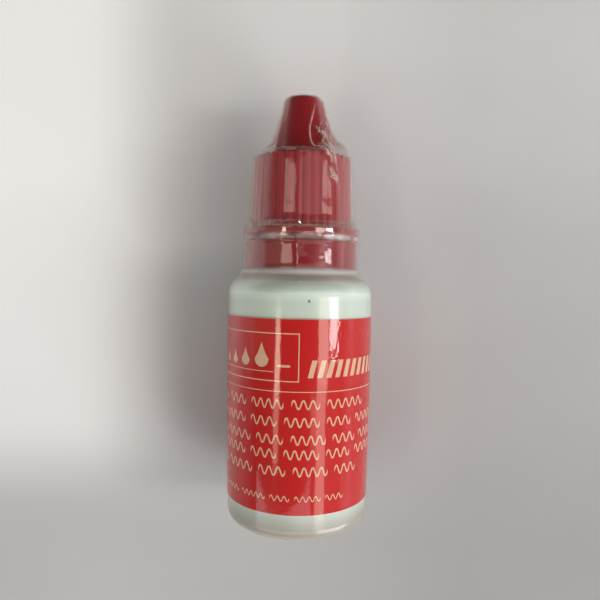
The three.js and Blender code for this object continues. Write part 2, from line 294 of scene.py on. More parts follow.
def bottle_profile():
    # recessed base and heel
    profile = [(0, 1.0), (2.5, 0.97)]
    profile += fillet([(2.6, 0.97), (4.9, 0.84, 1.6), (6.25, 0.0, 0.7),
                       (HEEL_WALL_R, 0.0, HEEL_R), (float(wall_r(LABEL_LOW)), LABEL_LOW)],
                      steps=10)
    profile += [(float(wall_r(z)), z) for z in np.linspace(LABEL_LOW + 1.5, 35.0, 18)]
    # shoulder
    profile += catmull([(11.5, 35.9), (11.47, 36.5), (11.25, 37.4), (10.68, 38.33), (9.72, 39.1),
                        (8.55, 39.6), (7.3, 39.9)], steps=6)
    # foot of the neck, with the bead that holds the ring
    profile += fillet([(7.1, 39.93), (NECK_R, 40.15, 0.35), (NECK_R, 42.45, 0.08),
                       (7.2, 42.55, 0.1), (7.2, 42.92, 0.12), (6.2, 43.45, 0.3),
                       (NECK_R, 44.2)], steps=5)
    profile += [(NECK_R, z) for z in np.arange(44.5, 46.0, 0.5)]
    profile += [(NECK_R, z) for z in np.arange(46.2, 52.9, THREAD_ROW)]
    # rim, then down the inside to the floor
    profile += fillet([(NECK_R, 53.2), (NECK_R, BODY_TOP, 0.25), (4.6, BODY_TOP, 0.15),
                       (4.6, 42.6, 1.8), (5.2, 40.6, 1.2), (7.1, 39.0, 2.0), (9.3, 37.9, 2.0),
                       (10.3, 36.9, 1.4), (BODY_R - 0.9, 35.6, 1.0), (BODY_R - 1.1, 5.0, 2.5),
                       (9.9, 2.9, 1.5), (8.4, 1.6, 1.2), (6.2, 1.6, 1.0), (4.6, 1.9, 1.0),
                       (2.0, 2.05)], steps=4)
    return profile + [(0, 2.05)]


def bottle_shape(R, Z, T):
    thread = 0.5 * helix_ridge(T, Z, THREAD_Z, turns=1.5, half_root=0.6, half_crest=0.34)
    neck = (np.abs(R - NECK_R) < 0.02) & (Z > 45.5) & (Z < 53.1)
    R = R + np.where(neck, thread, 0.0)
    # a blown wall is never quite round or straight
    wall = (R > 9.0) & (Z > 1.0) & (Z < 38.5)
    waver = 0.012 * waves(T, Z, 3, k_theta=(2, 5), k_z=(0.05, 0.25))
    waver = waver * smooth01((Z - 1.0) / 4) * smooth01((38.5 - Z) / 3)
    return R + np.where(wall, waver, 0.0), Z


def bead_strip(path, width, height, sides=8):
    """Oval flash, wide along X, along a path of (point, outward normal)."""
    verts, faces = [], []
    count = len(path)
    for i, (point, normal) in enumerate(path):
        taper = math.sin(math.pi * (i + 0.35) / (count - 0.3)) ** 0.5
        for k in range(sides):
            angle = TAU * k / sides
            verts.append(tuple(np.array(point)
                               + np.array(normal) * (height * taper * math.cos(angle))
                               + np.array((1, 0, 0)) * (width / 2 * taper * math.sin(angle))))
    for i in range(count - 1):
        row, ahead = i * sides, (i + 1) * sides
        for k in range(sides):
            k2 = (k + 1) % sides
            faces.append((row + k, row + k2, ahead + k2, ahead + k))
    faces.append(tuple(range(sides)))
    faces.append(tuple(reversed(range((count - 1) * sides, count * sides))))
    return outward(verts, faces)


def build_bottle():
    parts = [revolve_data(bottle_profile(), 176, bottle_shape)]
    # pinch-off weld under the base
    base_r, base_z = [0, 2.5, 4.0, 5.0, 5.6], [1.0, 0.97, 0.9, 0.72, 0.45]
    path = [((0.0, y, float(np.interp(abs(y), base_r, base_z))), (0, 0, -1))
            for y in np.linspace(-5.2, 5.2, 41)]
    parts.append(bead_strip(path, width=0.5, height=0.2))
    # flash where the parting line rounds the heel, at the front and the back
    for side, x in ((-1, 0.35), (1, 0)):
        path = []
        for angle in np.radians(np.linspace(22, 62, 15)):
            r = HEEL_WALL_R - HEEL_R + HEEL_R * math.sin(angle)
            z = HEEL_R - HEEL_R * math.cos(angle)
            path.append(((x, side * r, z), (0, side * math.sin(angle), -math.cos(angle))))
        parts.append(bead_strip(path, width=0.34, height=0.11))
    return join("bottle_shell", parts)


# ---- ink, with a slightly curved surface -----------------------------------------------------
def build_ink():
    profile = [(0, 2.5), (2.0, 2.48)]
    profile += fillet([(2.2, 2.47), (4.7, 2.32, 1.0), (6.3, 2.02, 1.0), (8.2, 2.02, 1.2),
                       (9.5, 3.15, 1.4), (INK_R - 0.2, 5.2, 2.0), (INK_R, 20.0, 3),
                       (INK_R, INK_TOP - 0.5)], steps=4)
    # (in from the wall, down from the top)
    surface = [(0, 0.06), (0.12, 0), (0.45, 0.16), (1.0, 0.3), (2.5, 0.4)]
    profile += [(INK_R - inset, INK_TOP - drop) for inset, drop in surface]
    profile += [(4, INK_TOP - 0.42), (0, INK_TOP - 0.42)]
    return make_object("ink_volume", *revolve_data(profile, 96))


# ---- label: a wrapped sheet with an overlapped seam at the back ------------------------------
LABEL_T = 0.12


def label_point(angle, z, lift):
    """Point over the sheet's inner face. The sheet steps out where it laps over its start."""
    lap = smooth01((angle - (math.pi - 0.16)) / 0.14) * (LABEL_T + 0.01)
    r = float(wall_r(z) + 0.035 + lap) + lift
    return (r * math.sin(angle), -r * math.cos(angle), z)


def label_wave(angle, z):
    """Slight lifts where the sheet isn't pressed flat."""
    return 0.014 + 0.012 * (np.sin(3.1 * angle + 0.7) * np.sin(0.23 * z + 1.1)
                            + 0.6 * np.sin(7.3 * angle + 2.0) * np.sin(0.41 * z)
                            + 0.4 * np.sin(11.0 * angle + 0.33 * z))


def build_label():
    across, up = 300, 64
    start, end = -math.pi + 0.035, math.pi + 0.16
    corner_r = 0.8
    verts = []
    for layer in (0, 1):
        for angle in np.linspace(start, end, across + 1):
            # rounded corners at the two ends and a hair of waver in the cut edges
            inset = corner_r - min(angle - start, end - angle) * BODY_R
            cut = 0.0
            if inset > 0:
                cut = corner_r - math.sqrt(max(0.0, corner_r ** 2 - inset ** 2))
            low = LABEL_LOW + cut + 0.02 * math.sin(2.3 * angle + 0.4)
            top = (LABEL_TOP - cut + 0.025 * math.sin(1.7 * angle + 1.9)
                   + 0.01 * math.sin(9 * angle))
            for t in np.linspace(0, 1, up + 1):
                z = low + (top - low) * t
                lift = float(label_wave(angle, z)) * smooth01(min(t, 1 - t) * 12)
                verts.append(label_point(angle, z, lift + layer * LABEL_T))
    layer_size = (across + 1) * (up + 1)
    faces = slab_faces(across, up,
                       lambda layer, i, j: layer * layer_size + i * (up + 1) + j)
    return make_object("label_sheet", verts, faces, 50)


# ---- printed marks: closed films sunk in the sheet and 0.006 proud of it ---------------------
# Positions along the sheet are arc lengths from the front centre.
PRINT_R = BODY_R + 0.15
MARK_SUNK, MARK_PROUD = -0.02, 0.006


def arc(degrees):
    return math.radians(degrees) * PRINT_R


def mark(corner_columns):
    """Mark through columns of (position, low z, high z)."""
    columns = [corner_columns[0]]
    for column in corner_columns[1:]:           # split long runs to follow the curve
        last = columns[-1]
        count = max(1, int(math.ceil((column[0] - last[0]) / 0.45)))
        for j in range(1, count + 1):
            columns.append(tuple(last[q] + (column[q] - last[q]) * j / count for q in range(3)))
    rows = 1 + max(1, int(max(top - low for _, low, top in columns) / 2.0))
    verts = []
    for position, low, top in columns:
        angle = position / PRINT_R
        for offset in (MARK_SUNK, MARK_PROUD):
            for q in range(rows + 1):
                z = low + (top - low) * q / rows
                t = min(z - LABEL_LOW, LABEL_TOP - z) / (LABEL_TOP - LABEL_LOW)
                lift = float(label_wave(angle, z)) * smooth01(t * 12)
                verts.append(label_point(angle, z, lift + LABEL_T + offset))
    size = rows + 1
    return outward(verts, slab_faces(len(columns) - 1, rows,
                                     lambda layer, i, j: (2 * i + layer) * size + j))


def rule(start, end, z, thickness):
    """Line along the wrap."""
    half = thickness / 2
    return mark([(start, z - half, z + half), (end, z - half, z + half)])


def dash(start, end, z, thickness):
    """Line with round ends."""
    r = thickness / 2
    turns = [math.pi / 2 * (k + 0.35) / 5 for k in range(5)]
    columns = [(start + r - r * math.cos(t), z - r * math.sin(t), z + r * math.sin(t))
               for t in turns]
    columns += [(start + r, z - r, z + r), (end - r, z - r, z + r)]
    columns += [(end - r + r * math.cos(t), z - r * math.sin(t), z + r * math.sin(t))
                for t in reversed(turns)]
    return mark(columns)


def leaning_stroke(start, width, z, height, lean):
    """Flat-ended stroke, leaning towards +X as it rises."""
    shift = height * math.tan(lean)
    tip = 0.03
    top = z + height
    return mark([(start, z, z + tip), (start + shift, z, top), (start + width, z, top),
                 (start + width + shift, top - tip, top)])


def wave(start, length, z, amplitude, period, thickness):
    """Wavy stroke along the wrap."""
    count = int(round(length / period))
    period = length / count
    steps = 14
    limit = amplitude * 1.05 + thickness * 0.5
    columns = []
    for k in range(count * steps + 1):
        u = k / steps
        slope = amplitude * TAU / period * math.cos(TAU * u)
        middle = z + amplitude * math.sin(TAU * u)
        half = thickness / 2 * math.sqrt(1 + slope * slope * 0.8)
        columns.append((start + u * period, max(middle - half, z - limit),
                        min(middle + half, z + limit)))
    return mark(columns)


def wave_row(start, lengths, gap, **shape):
    marks = []
    for length in lengths:
        marks.append(wave(start, length, **shape))
        start += length + gap
    return marks


def drop(centre, z, size):
    """Ink drop: pointed top, round belly."""
    r = size / 2
    columns = []
    for k in range(25):
        u = max(-0.995, min(0.995, -1 + 2 * k / 24))
        chord = math.sqrt(1 - u * u)
        columns.append((centre + u * r, z - r * chord,
                        z + r * (chord * 0.35 + 1.75 * (1 - abs(u)) ** 1.7)))
    return mark(columns)


STROKE_LENGTHS = [5.8, 7.0, 4.6, 4.2, 6.6, 4.3, 5.8, 4.6, 7.0, 4.2, 5.2, 4.6]
FRAME_LOW, FRAME_TOP = LABEL_LOW + 19.65, LABEL_LOW + 26.55
FRAME_LEFT, FRAME_RIGHT = arc(-98), arc(0)
FRAME_LINE = 0.16


def frame_marks():
    """Line frame with a row of drops and a dash, then a band of leaning strokes beside it."""
    half = FRAME_LINE / 2
    marks = [rule(FRAME_LEFT, FRAME_RIGHT, z, FRAME_LINE) for z in (FRAME_LOW, FRAME_TOP)]
    marks += [mark([(s - half, FRAME_LOW - half, FRAME_TOP + half),
                    (s + half, FRAME_LOW - half, FRAME_TOP + half)])
              for s in (FRAME_RIGHT, FRAME_LEFT)]
    marks.append(rule(arc(-88), arc(-18), FRAME_LOW + 1.31, thickness=0.12))
    for angle, size in ((-28, 2.35), (-43, 1.75), (-56, 1.35), (-68, 1.05), (-79, 0.8)):
        marks.append(drop(arc(angle), FRAME_LOW + 1.9 + size / 2, size))
    marks.append(dash(arc(-16), arc(-6), FRAME_LOW + 2.2, thickness=0.34))
    start = arc(6.5)
    for _ in range(12):
        marks.append(leaning_stroke(start, width=0.78, z=FRAME_LOW + 0.55, height=2.55,
                                    lean=math.radians(14)))
        start += 1.40
    marks.append(rule(arc(-166), arc(172), LABEL_LOW + 18.15, thickness=0.12))
    return marks


def text_marks():
    """Rows of wavy strokes."""
    marks = []
    gap, shortest = 1.15, 4.1
    used = 0
    # (height over the label's lower edge, first angle, last angle)
    front_rows = [(16.3, -97, 58), (13.7, -99, 97), (11.1, -94, 92), (8.95, -99, 99),
                  (6.45, -92, 55)]
    for row, (height, first, last) in enumerate(front_rows):
        start, end = arc(first), arc(last)
        position = start
        lengths = []
        full = False
        while not full:
            length = STROKE_LENGTHS[(used * 5 + row) % len(STROKE_LENGTHS)]
            used += 1
            full = position + length > end
            if full:
                length = end - position
            if not full or length > shortest:
                lengths.append(length)
            position += length + gap
        marks += wave_row(start, lengths, gap, z=LABEL_LOW + height, amplitude=0.60,
                          period=1.38, thickness=0.25)
    marks += wave_row(arc(-86), (3.6, 3.0, 4.4, 3.0, 3.9, 3.0), 0.8, z=LABEL_LOW + 2.45,
                      amplitude=0.36, period=0.95, thickness=0.17)
    # short rows either side of the seam: (first angle, first length used, longest stroke)
    for row, height in enumerate((25.0, 22.9, 20.8, 15.2, 12.9, 10.6, 8.3)):
        for angle, pick, longest in ((112, row, 4.2), (-164, row + 3, 4.4)):
            lengths = [min(length, longest) for length in STROKE_LENGTHS[pick:pick + 2]]
            marks += wave_row(arc(angle), lengths, 0.8, z=LABEL_LOW + height, amplitude=0.44,
                              period=1.1, thickness=0.2)
    marks.append(drop(arc(-120), LABEL_LOW + 3.4, size=2.2))
    return marks


def build_prints():
    return join("label_print", frame_marks() + text_marks(), 30)


# ---- tamper ring: plain band with a catching lip, and the stubs of broken bridges ------------
BRIDGES = 8
BRIDGE_R = 8.62                                 # outer face of a stub at its root
STUB_OVERLAP, STUB_GAP = 0.08, 0.05


def bridge_stubs(low, top, up):
    """Small webs round the gap. Their torn ends are narrower and uneven. up is 1 where the
    torn end is on top and -1 where it is below."""
    stubs = []
    across, deep = 5, 3
    for i in range(BRIDGES):
        angle = (i + 0.5) * TAU / BRIDGES
        cos, sin = math.cos(angle), math.sin(angle)
        verts = []
        for z, direction in ((low, -1), (top, 1)):
            torn = direction == up
            shrink = 0.72 if torn else 1.0
            for k in range(across):
                for m in range(deep):
                    r = BRIDGE_R + (-0.25 + 0.25 * m) * shrink
                    side = (-0.34 + 0.68 * k / (across - 1)) * shrink
                    wear = 0.0
                    if torn:
                        wear = -up * 0.05 * (0.5 + 0.5 * math.sin(9.1 * i + 2.3 * k + 1.7 * m))
                    verts.append((r * cos - side * sin, r * sin + side * cos, z + wear))
        faces = slab_faces(deep - 1, across - 1,
                           lambda layer, m, k: (layer * across + k) * deep + m)
        stubs.append(outward(verts, faces))
    return stubs


def build_ring():
    inner_r, lip_r, outer_r = 7.95, 6.75, 9.05
    profile = fillet([(lip_r, 41.35, 0.15), (inner_r, 41.05, 0.2), (inner_r, RING_LOW, 0.12),
                      (outer_r, RING_LOW, 0.2), (outer_r, RING_TOP, 0.16),
                      (inner_r, RING_TOP, 0.14), (inner_r, 42.9, 0.4), (lip_r, 42.05, 0.12)],
                     closed=True, steps=5)
    band = revolve_data(profile, 208, closed=True,
                        shape=lambda R, Z, T: (uneven_rim(R, Z, T, amount=0.008, seed=11), Z))
    return join("tamper_band",
                [band] + bridge_stubs(RING_TOP - STUB_OVERLAP, GROOVE_Z - STUB_GAP, up=1))


# ---- cap: ribbed skirt, flange, tapered nose, threaded bore and seal pin ---------------------
RIBS, RIB_DEPTH = 36, 0.32
SKIRT_R, SKIRT_TAPER = 8.15, 0.4


def cap_outside():
    """From the lower rim up to the axis at the top of the nose."""
    profile = fillet([(6.85, CAP_LOW, 0.08), (7.25, CAP_LOW, 0.1), (7.25, FLANGE_LOW, 0.06),
                      (9.2, FLANGE_LOW, 0.14), (9.2, FLANGE_TOP, 0.14),
                      (8.32, FLANGE_TOP + 0.01)], steps=4)[1:]
    profile += [(SKIRT_R - SKIRT_TAPER * t,
                 FLANGE_TOP + 0.02 + (SKIRT_TOP - FLANGE_TOP - 0.3) * t)
                for t in np.linspace(0, 1, 22)]
    profile += [(7.735, SKIRT_TOP - 0.14), (7.68, SKIRT_TOP - 0.06), (7.56, SKIRT_TOP - 0.01),
                (7.42, SKIRT_TOP), (7.2, SKIRT_TOP), (6.4, SKIRT_TOP + 0.01)]
    profile += fillet([(5.6, SKIRT_TOP + 0.01), (4.77, SKIRT_TOP + 0.03, 0.45),
                       (3.08, CAP_TOP - 1.3)], steps=6)
    profile += fillet([(3.03, CAP_TOP - 1.1), (2.93, CAP_TOP, 0.62), (1.4, CAP_TOP),
                       (0.0, CAP_TOP)], steps=9)[1:]
    return profile


def cap_inside():
    """From the pin at the axis down to the lower rim."""
    profile = [(0.0, 63.7), (0.14, 63.72), (0.24, 63.84), (0.29, 64.2), (0.3, 65.6)]
    profile += fillet([(0.32, 65.72), (1.75, 65.75, 0.3), (2.07, 65.1, 0.3), (3.5, 57.4, 0.4),
                       (3.75, 56.65, 0.15), (6.3, 56.65, 0.3), (BORE_R, 55.9, 0.3),
                       (BORE_R, 53.6)], steps=4)
    profile += [(BORE_R, z) for z in np.arange(53.4, 47.6, -THREAD_ROW)]
    profile += [(BORE_R, z) for z in (47.0, 46.0, 45.0, CAP_LOW + 0.12)]
    return profile + [(BORE_R + 0.04, CAP_LOW + 0.03)]


def build_cap():
    outside = cap_outside()

    def shape(R, Z, T):
        outer = np.zeros(R.shape, bool)
        outer[:len(outside)] = True
        below_top = Z < SKIRT_TOP + 0.005
        # ribs, shallower on the rounded top edge
        turn = (T / TAU * RIBS) % 1.0
        rib = (np.sin(math.pi * turn) ** 2 + 0.008) ** 0.37 / 1.003
        ribbed = outer & (R < 8.2) & (R > 7.3) & (Z > FLANGE_TOP + 0.015) & below_top
        R = np.where(ribbed, R - RIB_DEPTH * (1 - rib) * np.where(R < 7.5, 0.35, 1.0), R)
        # each groove opens out at the top edge, so the rim is scalloped
        edge_low = SKIRT_TOP - 0.9
        edge = outer & (R < 8.2) & (R > 7.1) & (Z > edge_low) & below_top
        Z = np.where(edge, Z - 0.34 * (1 - rib) * rise(Z, edge_low, 0.8), Z)
        bore = (~outer) & (np.abs(R - BORE_R) < 0.02) & (Z > 47.2) & (Z < 53.5)
        thread = 0.45 * helix_ridge(T, Z, THREAD_Z + PITCH / 2, turns=1.25, half_root=0.55,
                                    half_crest=0.28)
        R = np.where(bore, R - thread, R)
        rim = uneven_rim(R, Z, T, amount=0.006, seed=5)
        return np.where(outer, rim, R), Z

    profile = outside[::-1] + cap_inside()[::-1]
    shell = revolve_data(profile, RIBS * 16, shape)
    stubs = bridge_stubs(GROOVE_Z + STUB_GAP, FLANGE_LOW + STUB_OVERLAP, up=-1)
    return join("cap_shell", [shell] + stubs, 34)


# ---- dropper plug ----------------------------------------------------------------------------
def build_plug():
    profile = fillet([
        # stem in the neck, with a sealing bead
        (3.6, PLUG_LOW, 0.1), (4.2, PLUG_LOW, 0.15), (4.43, 50.3, 0.2), (4.43, 51.4, 0.2),
        (4.53, 51.8, 0.1), (4.53, 52.4, 0.1), (4.43, 52.8, 0.2), (4.43, 55.36, 0.06),
        # flange and nozzle
        (5.85, 55.36, 0.1), (5.85, 56.3, 0.22), (3.1, 56.3, 0.3), (2.75, 57.1, 0.5),
        (1.55, 63.9, 0.6), (1.35, 64.5, 0.2), (1.1, PLUG_TOP, 0.15), (0.75, PLUG_TOP, 0.1),
        # channel
        (0.45, 64.2, 0.2), (0.45, 62.6, 0.4), (1.75, 56.4, 0.8), (3.5, 54.4, 0.6)],
        closed=True, steps=5)
    return make_object("nozzle_plug", *revolve_data(profile, 96, closed=True))


# ---- shrink film: a thin sleeve, tented between nose and skirt, creased on the right ---------
FILM_T = 0.055
FILM_FLAT_R = 6.2                               # turns angles into lengths for the creases
LOWER_ROWS = 4                                  # rows moved by the wavering lower edge

# sleeve profiles: one shared lower part, then the top at the left, the right and the front
FILM_SHARED = [(11.62, FILM_LOW + 0.03), (11.53, 37.38), (11.07, 38.22), (10.2, 39.22),
               (9.6, 39.97), (9.43, 40.75), (9.40, 42.5), (9.39, 44.6), (9.41, 45.9),
               (9.43, 46.65), (9.02, 47.3), (8.56, 48.2), (8.3, 52.5), (8.05, 57.55),
               (7.84, 58.3)]
FILM_LEFT = [(6.4, 59.4), (5.45, 60.35), (4.95, 61.3), (4.47, 62.5), (4.1, 63.8), (3.7, 65.05),
             (3.36, 66.4), (3.13, 67.35), (2.72, 67.78), (2.2, FILM_TOP - 0.02)]
FILM_RIGHT = [(6.95, 59.9), (6.15, 60.55), (5.45, 61.4), (4.85, 62.5), (4.33, 63.9),
              (3.86, 65.1), (3.48, 66.5), (3.18, 67.4), (2.74, 67.8), (2.2, FILM_TOP - 0.02)]
FILM_FRONT = [(6.3, 58.66), (5.3, 58.97), (4.88, 59.9), (4.57, 61.3), (4.26, 62.8),
              (3.93, 64.4), (3.52, 66.3), (3.22, 67.33), (2.74, 67.78), (2.2, FILM_TOP - 0.02)]
FILM_STEPS = [6, 6, 6, 5, 5, 6, 6, 4, 4, 4, 4, 8, 14, 6, 14, 12, 11, 12, 12, 12, 12, 10, 6, 5]

CREASES = [
    # (angle in degrees, height) points, height of the fold, half width
    ([(30.1, 66.3), (19.7, 63.98), (13.0, 62.23), (13.0, 61.0), (15.3, 59.9), (20.4, 59.0),
      (27.0, 58.1), (31.6, 57.4), (35.5, 56.4)], 0.17, 0.26),
    ([(57.5, 64.6), (47.5, 62.4), (38.5, 61.1), (31.5, 59.85), (31.5, 58.9), (35.0, 58.2),
      (37.6, 57.1), (39.8, 55.9)], 0.15, 0.22),
    ([(63.1, 67.2), (57.5, 66.0), (55.4, 64.4), (54.4, 62.8), (50.0, 61.1), (44.5, 59.6),
      (45.5, 58.6)], 0.13, 0.28),
    ([(29.0, 55.8), (34.2, 54.6), (40.5, 53.3)], 0.09, 0.32),
    ([(34.4, 57.9), (38.4, 56.1), (41.2, 54.6)], 0.07, 0.18),
    ([(24.0, 62.6), (33.0, 61.7), (40.0, 60.5)], 0.10, 0.2),
    ([(28.0, 61.2), (34.0, 62.6), (42.0, 63.6)], 0.08, 0.18),
    ([(36.0, 59.6), (41.0, 60.4), (47.0, 62.0)], 0.08, 0.18),
    ([(52.0, 46.9), (60.0, 47.6), (72.0, 48.1)], 0.05, 0.25),
    ([(340.0, 46.9), (348.0, 47.5), (356.0, 47.3)], 0.04, 0.22),
    ([(200.0, 66.0), (196.0, 63.0), (188.0, 60.6), (183.0, 58.6)], 0.12, 0.3),
    ([(300.0, 60.3), (296.0, 58.6), (293.0, 56.8)], 0.06, 0.25),
]
# painted glints on the film
PAINTED_GLINTS = [
    # (angle in degrees, height) points, half width
    ([(34.5, 55.3), (37.5, 54.6), (42.0, 53.7)], 0.10),
    ([(38.5, 61.9), (44.0, 60.8), (47.0, 59.9)], 0.18),
]


def crease_distance(flat, Z, points):
    """Distance from grid points to a line of points, and how far along it the nearest lies."""
    nearest = np.full(flat.shape, 1e9)
    along = np.zeros(flat.shape)
    points = [(math.radians(angle) * FILM_FLAT_R, z) for angle, z in points]
    spans = len(points) - 1
    for k in range(spans):
        (x0, z0), (x1, z1) = points[k], points[k + 1]
        dx, dz = x1 - x0, z1 - z0
        t = np.clip(((flat - x0) * dx + (Z - z0) * dz) / (dx * dx + dz * dz), 0, 1)
        distance = np.hypot(flat - x0 - t * dx, Z - z0 - t * dz)
        closer = distance < nearest
        nearest = np.where(closer, distance, nearest)
        along = np.where(closer, (k + t) / spans, along)
    return nearest, along


def film_grid():
    """Angles, angles as -180..180 degrees, radii and heights of the smooth sleeve."""
    # finer columns over the creased right front
    turn = np.concatenate([np.radians(np.arange(2.0, 86.0, 0.6)),
                           np.radians(np.arange(86.0, 362.0, 2.3))])
    turn = turn[turn < math.radians(361.4)]
    left, right, front = (np.array(catmull(FILM_SHARED + top, FILM_STEPS))
                          for top in (FILM_LEFT, FILM_RIGHT, FILM_FRONT))
    turn = np.repeat(turn[:, None], len(left), 1)
    degrees = (np.degrees(turn) + 180) % 360 - 180
    rightness = smooth01(0.5 + 0.5 * np.cos(turn - math.radians(72)))
    # shrunk tight on the front of the nose, standing off it at the two sides
    tight = rise(degrees, -55, 14) * (1 - 0.75 * rise(degrees, 12, 30)
                                      - 0.25 * rise(degrees, 42, 18))
    R, Z = ((1 - tight) * ((1 - rightness) * left[None, :, q] + rightness * right[None, :, q])
            + tight * front[None, :, q] for q in (0, 1))
    return turn, degrees, R, Z


def film_creases(flat, Z):
    """Lift of the creases, and their fold mask."""
    lift, fold = np.zeros_like(Z), np.zeros_like(Z)
    for points, height, half in CREASES:
        distance, along = crease_distance(flat, Z, points)
        ends = smooth01(np.minimum(along, 1 - along) * 5 + 0.25)
        tent = np.clip(1 - distance / half, 0, 1) ** 1.15
        gutter = 0.35 * bell(distance, half * 1.35, half * 0.45)
        lift += 1.25 * height * ends * (tent - gutter)
        # milky crease cores, which the film material paints with a golden highlight
        core = np.clip(1.15 - distance / (half * 0.80), 0, 1) ** 1.2
        fold = np.maximum(fold, ends * min(1.0, height / 0.13) * core)
    # a painted highlight along the turn of the film over the flange
    return lift, np.maximum(fold, 0.55 * bell(Z, 46.75, 0.15))


def film_bunch_and_highlight(turn, degrees, Z, flat, patch):
    """Mask of milky, bunched film with painted highlights: a white band over the shoulder,
    highlights in the groove, and painted glints in bright spots.
    """
    # painted highlight: a white band where the film runs from the ring onto the shoulder
    bunch_and_highlight = 0.86 * bell(Z, 39.80, 0.50) * (0.86 + 0.14 * np.sin(3 * turn + 1.0))
    bunch_and_highlight = np.maximum(bunch_and_highlight, 0.26 * bell(Z, 39.2, 0.5))
    # painted highlights along the groove
    in_groove = (0.17 + 0.40 * window(degrees, (14, 12), (46, 16))
                 + 0.26 * window(-degrees, (8, 10), (34, 14))
                 + 0.22 * rise(np.abs(degrees), 46, 20)
                 + 0.10 * np.sin(11 * turn + 0.5) + 0.07 * np.sin(27 * turn + 2.0))
    bunch_and_highlight = np.maximum(bunch_and_highlight, bell(Z, GROOVE_Z, 0.42) * np.clip(in_groove, 0.05, 0.7))
    # painted glints over the crumpled patch and along short strokes
    painted_glint = (0.85 * np.clip(patch * 1.6 - 0.30, 0, 1)
             * (0.35 + 0.65 * np.abs(np.sin(flat * 6.1 + Z * 3.1))))
    for points, half in PAINTED_GLINTS:
        distance, along = crease_distance(flat, Z, points)
        ends = smooth01(np.minimum(along, 1 - along) * 6 + 0.3)
        painted_glint = np.maximum(painted_glint, 0.95 * np.clip(1.1 - distance / half, 0, 1) * ends)
    return np.maximum(bunch_and_highlight, painted_glint)


def film_painted_red_reflection(degrees, Z):
    """Painted red reflection of the cap in the film: both sides of the nose, and the groove."""
    nose = (rise(np.abs(degrees + 2), 36, 16) * (1 - rise(np.abs(degrees), 105, 40))
            * window(Z, (58.7, 1.0), (65.2, 2.2)))
    groove = 0.55 * bell(Z, GROOVE_Z, 0.6) * (1 - 0.75 * window(degrees, (16, 8), (44, 10)))
    return np.maximum(nose, groove)


def film_lift(turn, Z, flat, patch):
    """Unevenness of the sleeve besides its creases."""
    # crumpled patch between the creases
    lift = 0.13 * patch * (np.abs(np.sin(flat * 6.1 + Z * 3.1))
                           + np.abs(np.sin(flat * 3.9 - Z * 5.2 + 1.0)) - 0.9)
    # the ring stretch is rippled, the rest less so
    ripple = window(Z, (40.3, 0.8), (46.6, 0.8))
    lift += (0.010 * ripple + 0.0035) * waves(turn, Z, 33, count=12, k_theta=(8, 26),
                                              k_z=(1.0, 3.4))
    # soft waver everywhere, small puckers at the lower edge, a sag over the groove
    lift += 0.018 * waves(turn, Z, 21, count=9, k_theta=(3, 11), k_z=(0.15, 1.1))
    pucker = 1 + np.sin(23 * turn + 1.3) * (0.6 + 0.4 * np.sin(5 * turn))
    lift += smooth01((38.6 - Z) / 1.8) * 0.035 * pucker
    sag = 1 + 0.35 * np.sin(8 * turn + 0.6) + 0.25 * np.sin(19 * turn)
    return lift - 0.17 * bell(Z, GROOVE_Z, 0.42) * sag


def film_vertices(turn, R, Z, lift):
    """Outer layer moved along its normals, then the inner layer, as (2, columns, rows, 3)."""
    points = np.stack([R * np.sin(turn), -R * np.cos(turn), Z], -1)
    normals = np.cross(np.roll(points, -1, 0) - np.roll(points, 1, 0),
                       np.gradient(points, axis=1))
    normals /= np.linalg.norm(normals, axis=-1, keepdims=True)
    radial = np.stack([np.sin(turn), -np.cos(turn), np.zeros_like(turn)], -1)
    facing = (normals * radial).sum(-1, keepdims=True) + normals[..., 2:] * 0.5
    normals = np.where(facing < 0, -normals, normals)
    deepest = np.where(np.abs(Z - GROOVE_Z) < 0.6, -0.3, -0.06)
    outer = points + normals * np.maximum(lift, deepest)[..., None]
    verts = np.stack([outer, outer - normals * FILM_T])
    # wavering lower edge
    column = turn[:, :1]
    edge = 0.042 * (np.sin(5 * column + 0.4) + 0.5 * np.sin(13 * column + 2)) + 0.08
    fade = 1 - np.arange(LOWER_ROWS) / LOWER_ROWS
    verts[:, :, :LOWER_ROWS, 2] += np.maximum(0.0, edge) * fade
    return verts


def film_faces(columns, rows):
    faces = []
    inner = columns * rows
    for i in range(columns):
        here, ahead = i * rows, (i + 1) % columns * rows
        for j in range(rows - 1):
            faces.append((here + j, ahead + j, ahead + j + 1, here + j + 1))
            faces.append((inner + here + j, inner + here + j + 1,
                          inner + ahead + j + 1, inner + ahead + j))
        faces.append((here, inner + here, inner + ahead, ahead))
        j = rows - 1
        faces.append((here + j, ahead + j, inner + ahead + j, inner + here + j))
    return faces


def build_film():
    turn, degrees, R, Z = film_grid()
    flat = turn * FILM_FLAT_R
    patch_x = math.radians(41) * FILM_FLAT_R
    patch = np.exp(-(((flat - patch_x + (Z - 61.0) * 0.45) / 0.62) ** 2
                     + ((Z - 61.0) / 0.95) ** 2))
    lift, fold = film_creases(flat, Z)
    lift = lift + film_lift(turn, Z, flat, patch)
    verts = film_vertices(turn, R, Z, lift).reshape(-1, 3)
    film = make_object("film_sleeve", verts, film_faces(*Z.shape), 60)
    masks = (("fold", fold), ("bunch_and_highlight", film_bunch_and_highlight(turn, degrees, Z, flat, patch)),
             ("painted_red_reflection", film_painted_red_reflection(degrees, Z)))
    for name, mask in masks:
        attribute = film.data.attributes.new(name, "FLOAT", "POINT")
        attribute.data.foreach_set("value", np.tile(mask.reshape(-1), 2).astype(np.float32))
    return film


bottle = build_bottle()
ink = build_ink()
label = build_label()
prints = build_prints()
ring = build_ring()
cap = build_cap()
plug = build_plug()
film = build_film()


# ---- node helpers ----------------------------------------------------------------------------
CAMERA_AT = Vector((0.0, -0.09156, 0.0388))
CAMERA_TOLERANCE = 0.002


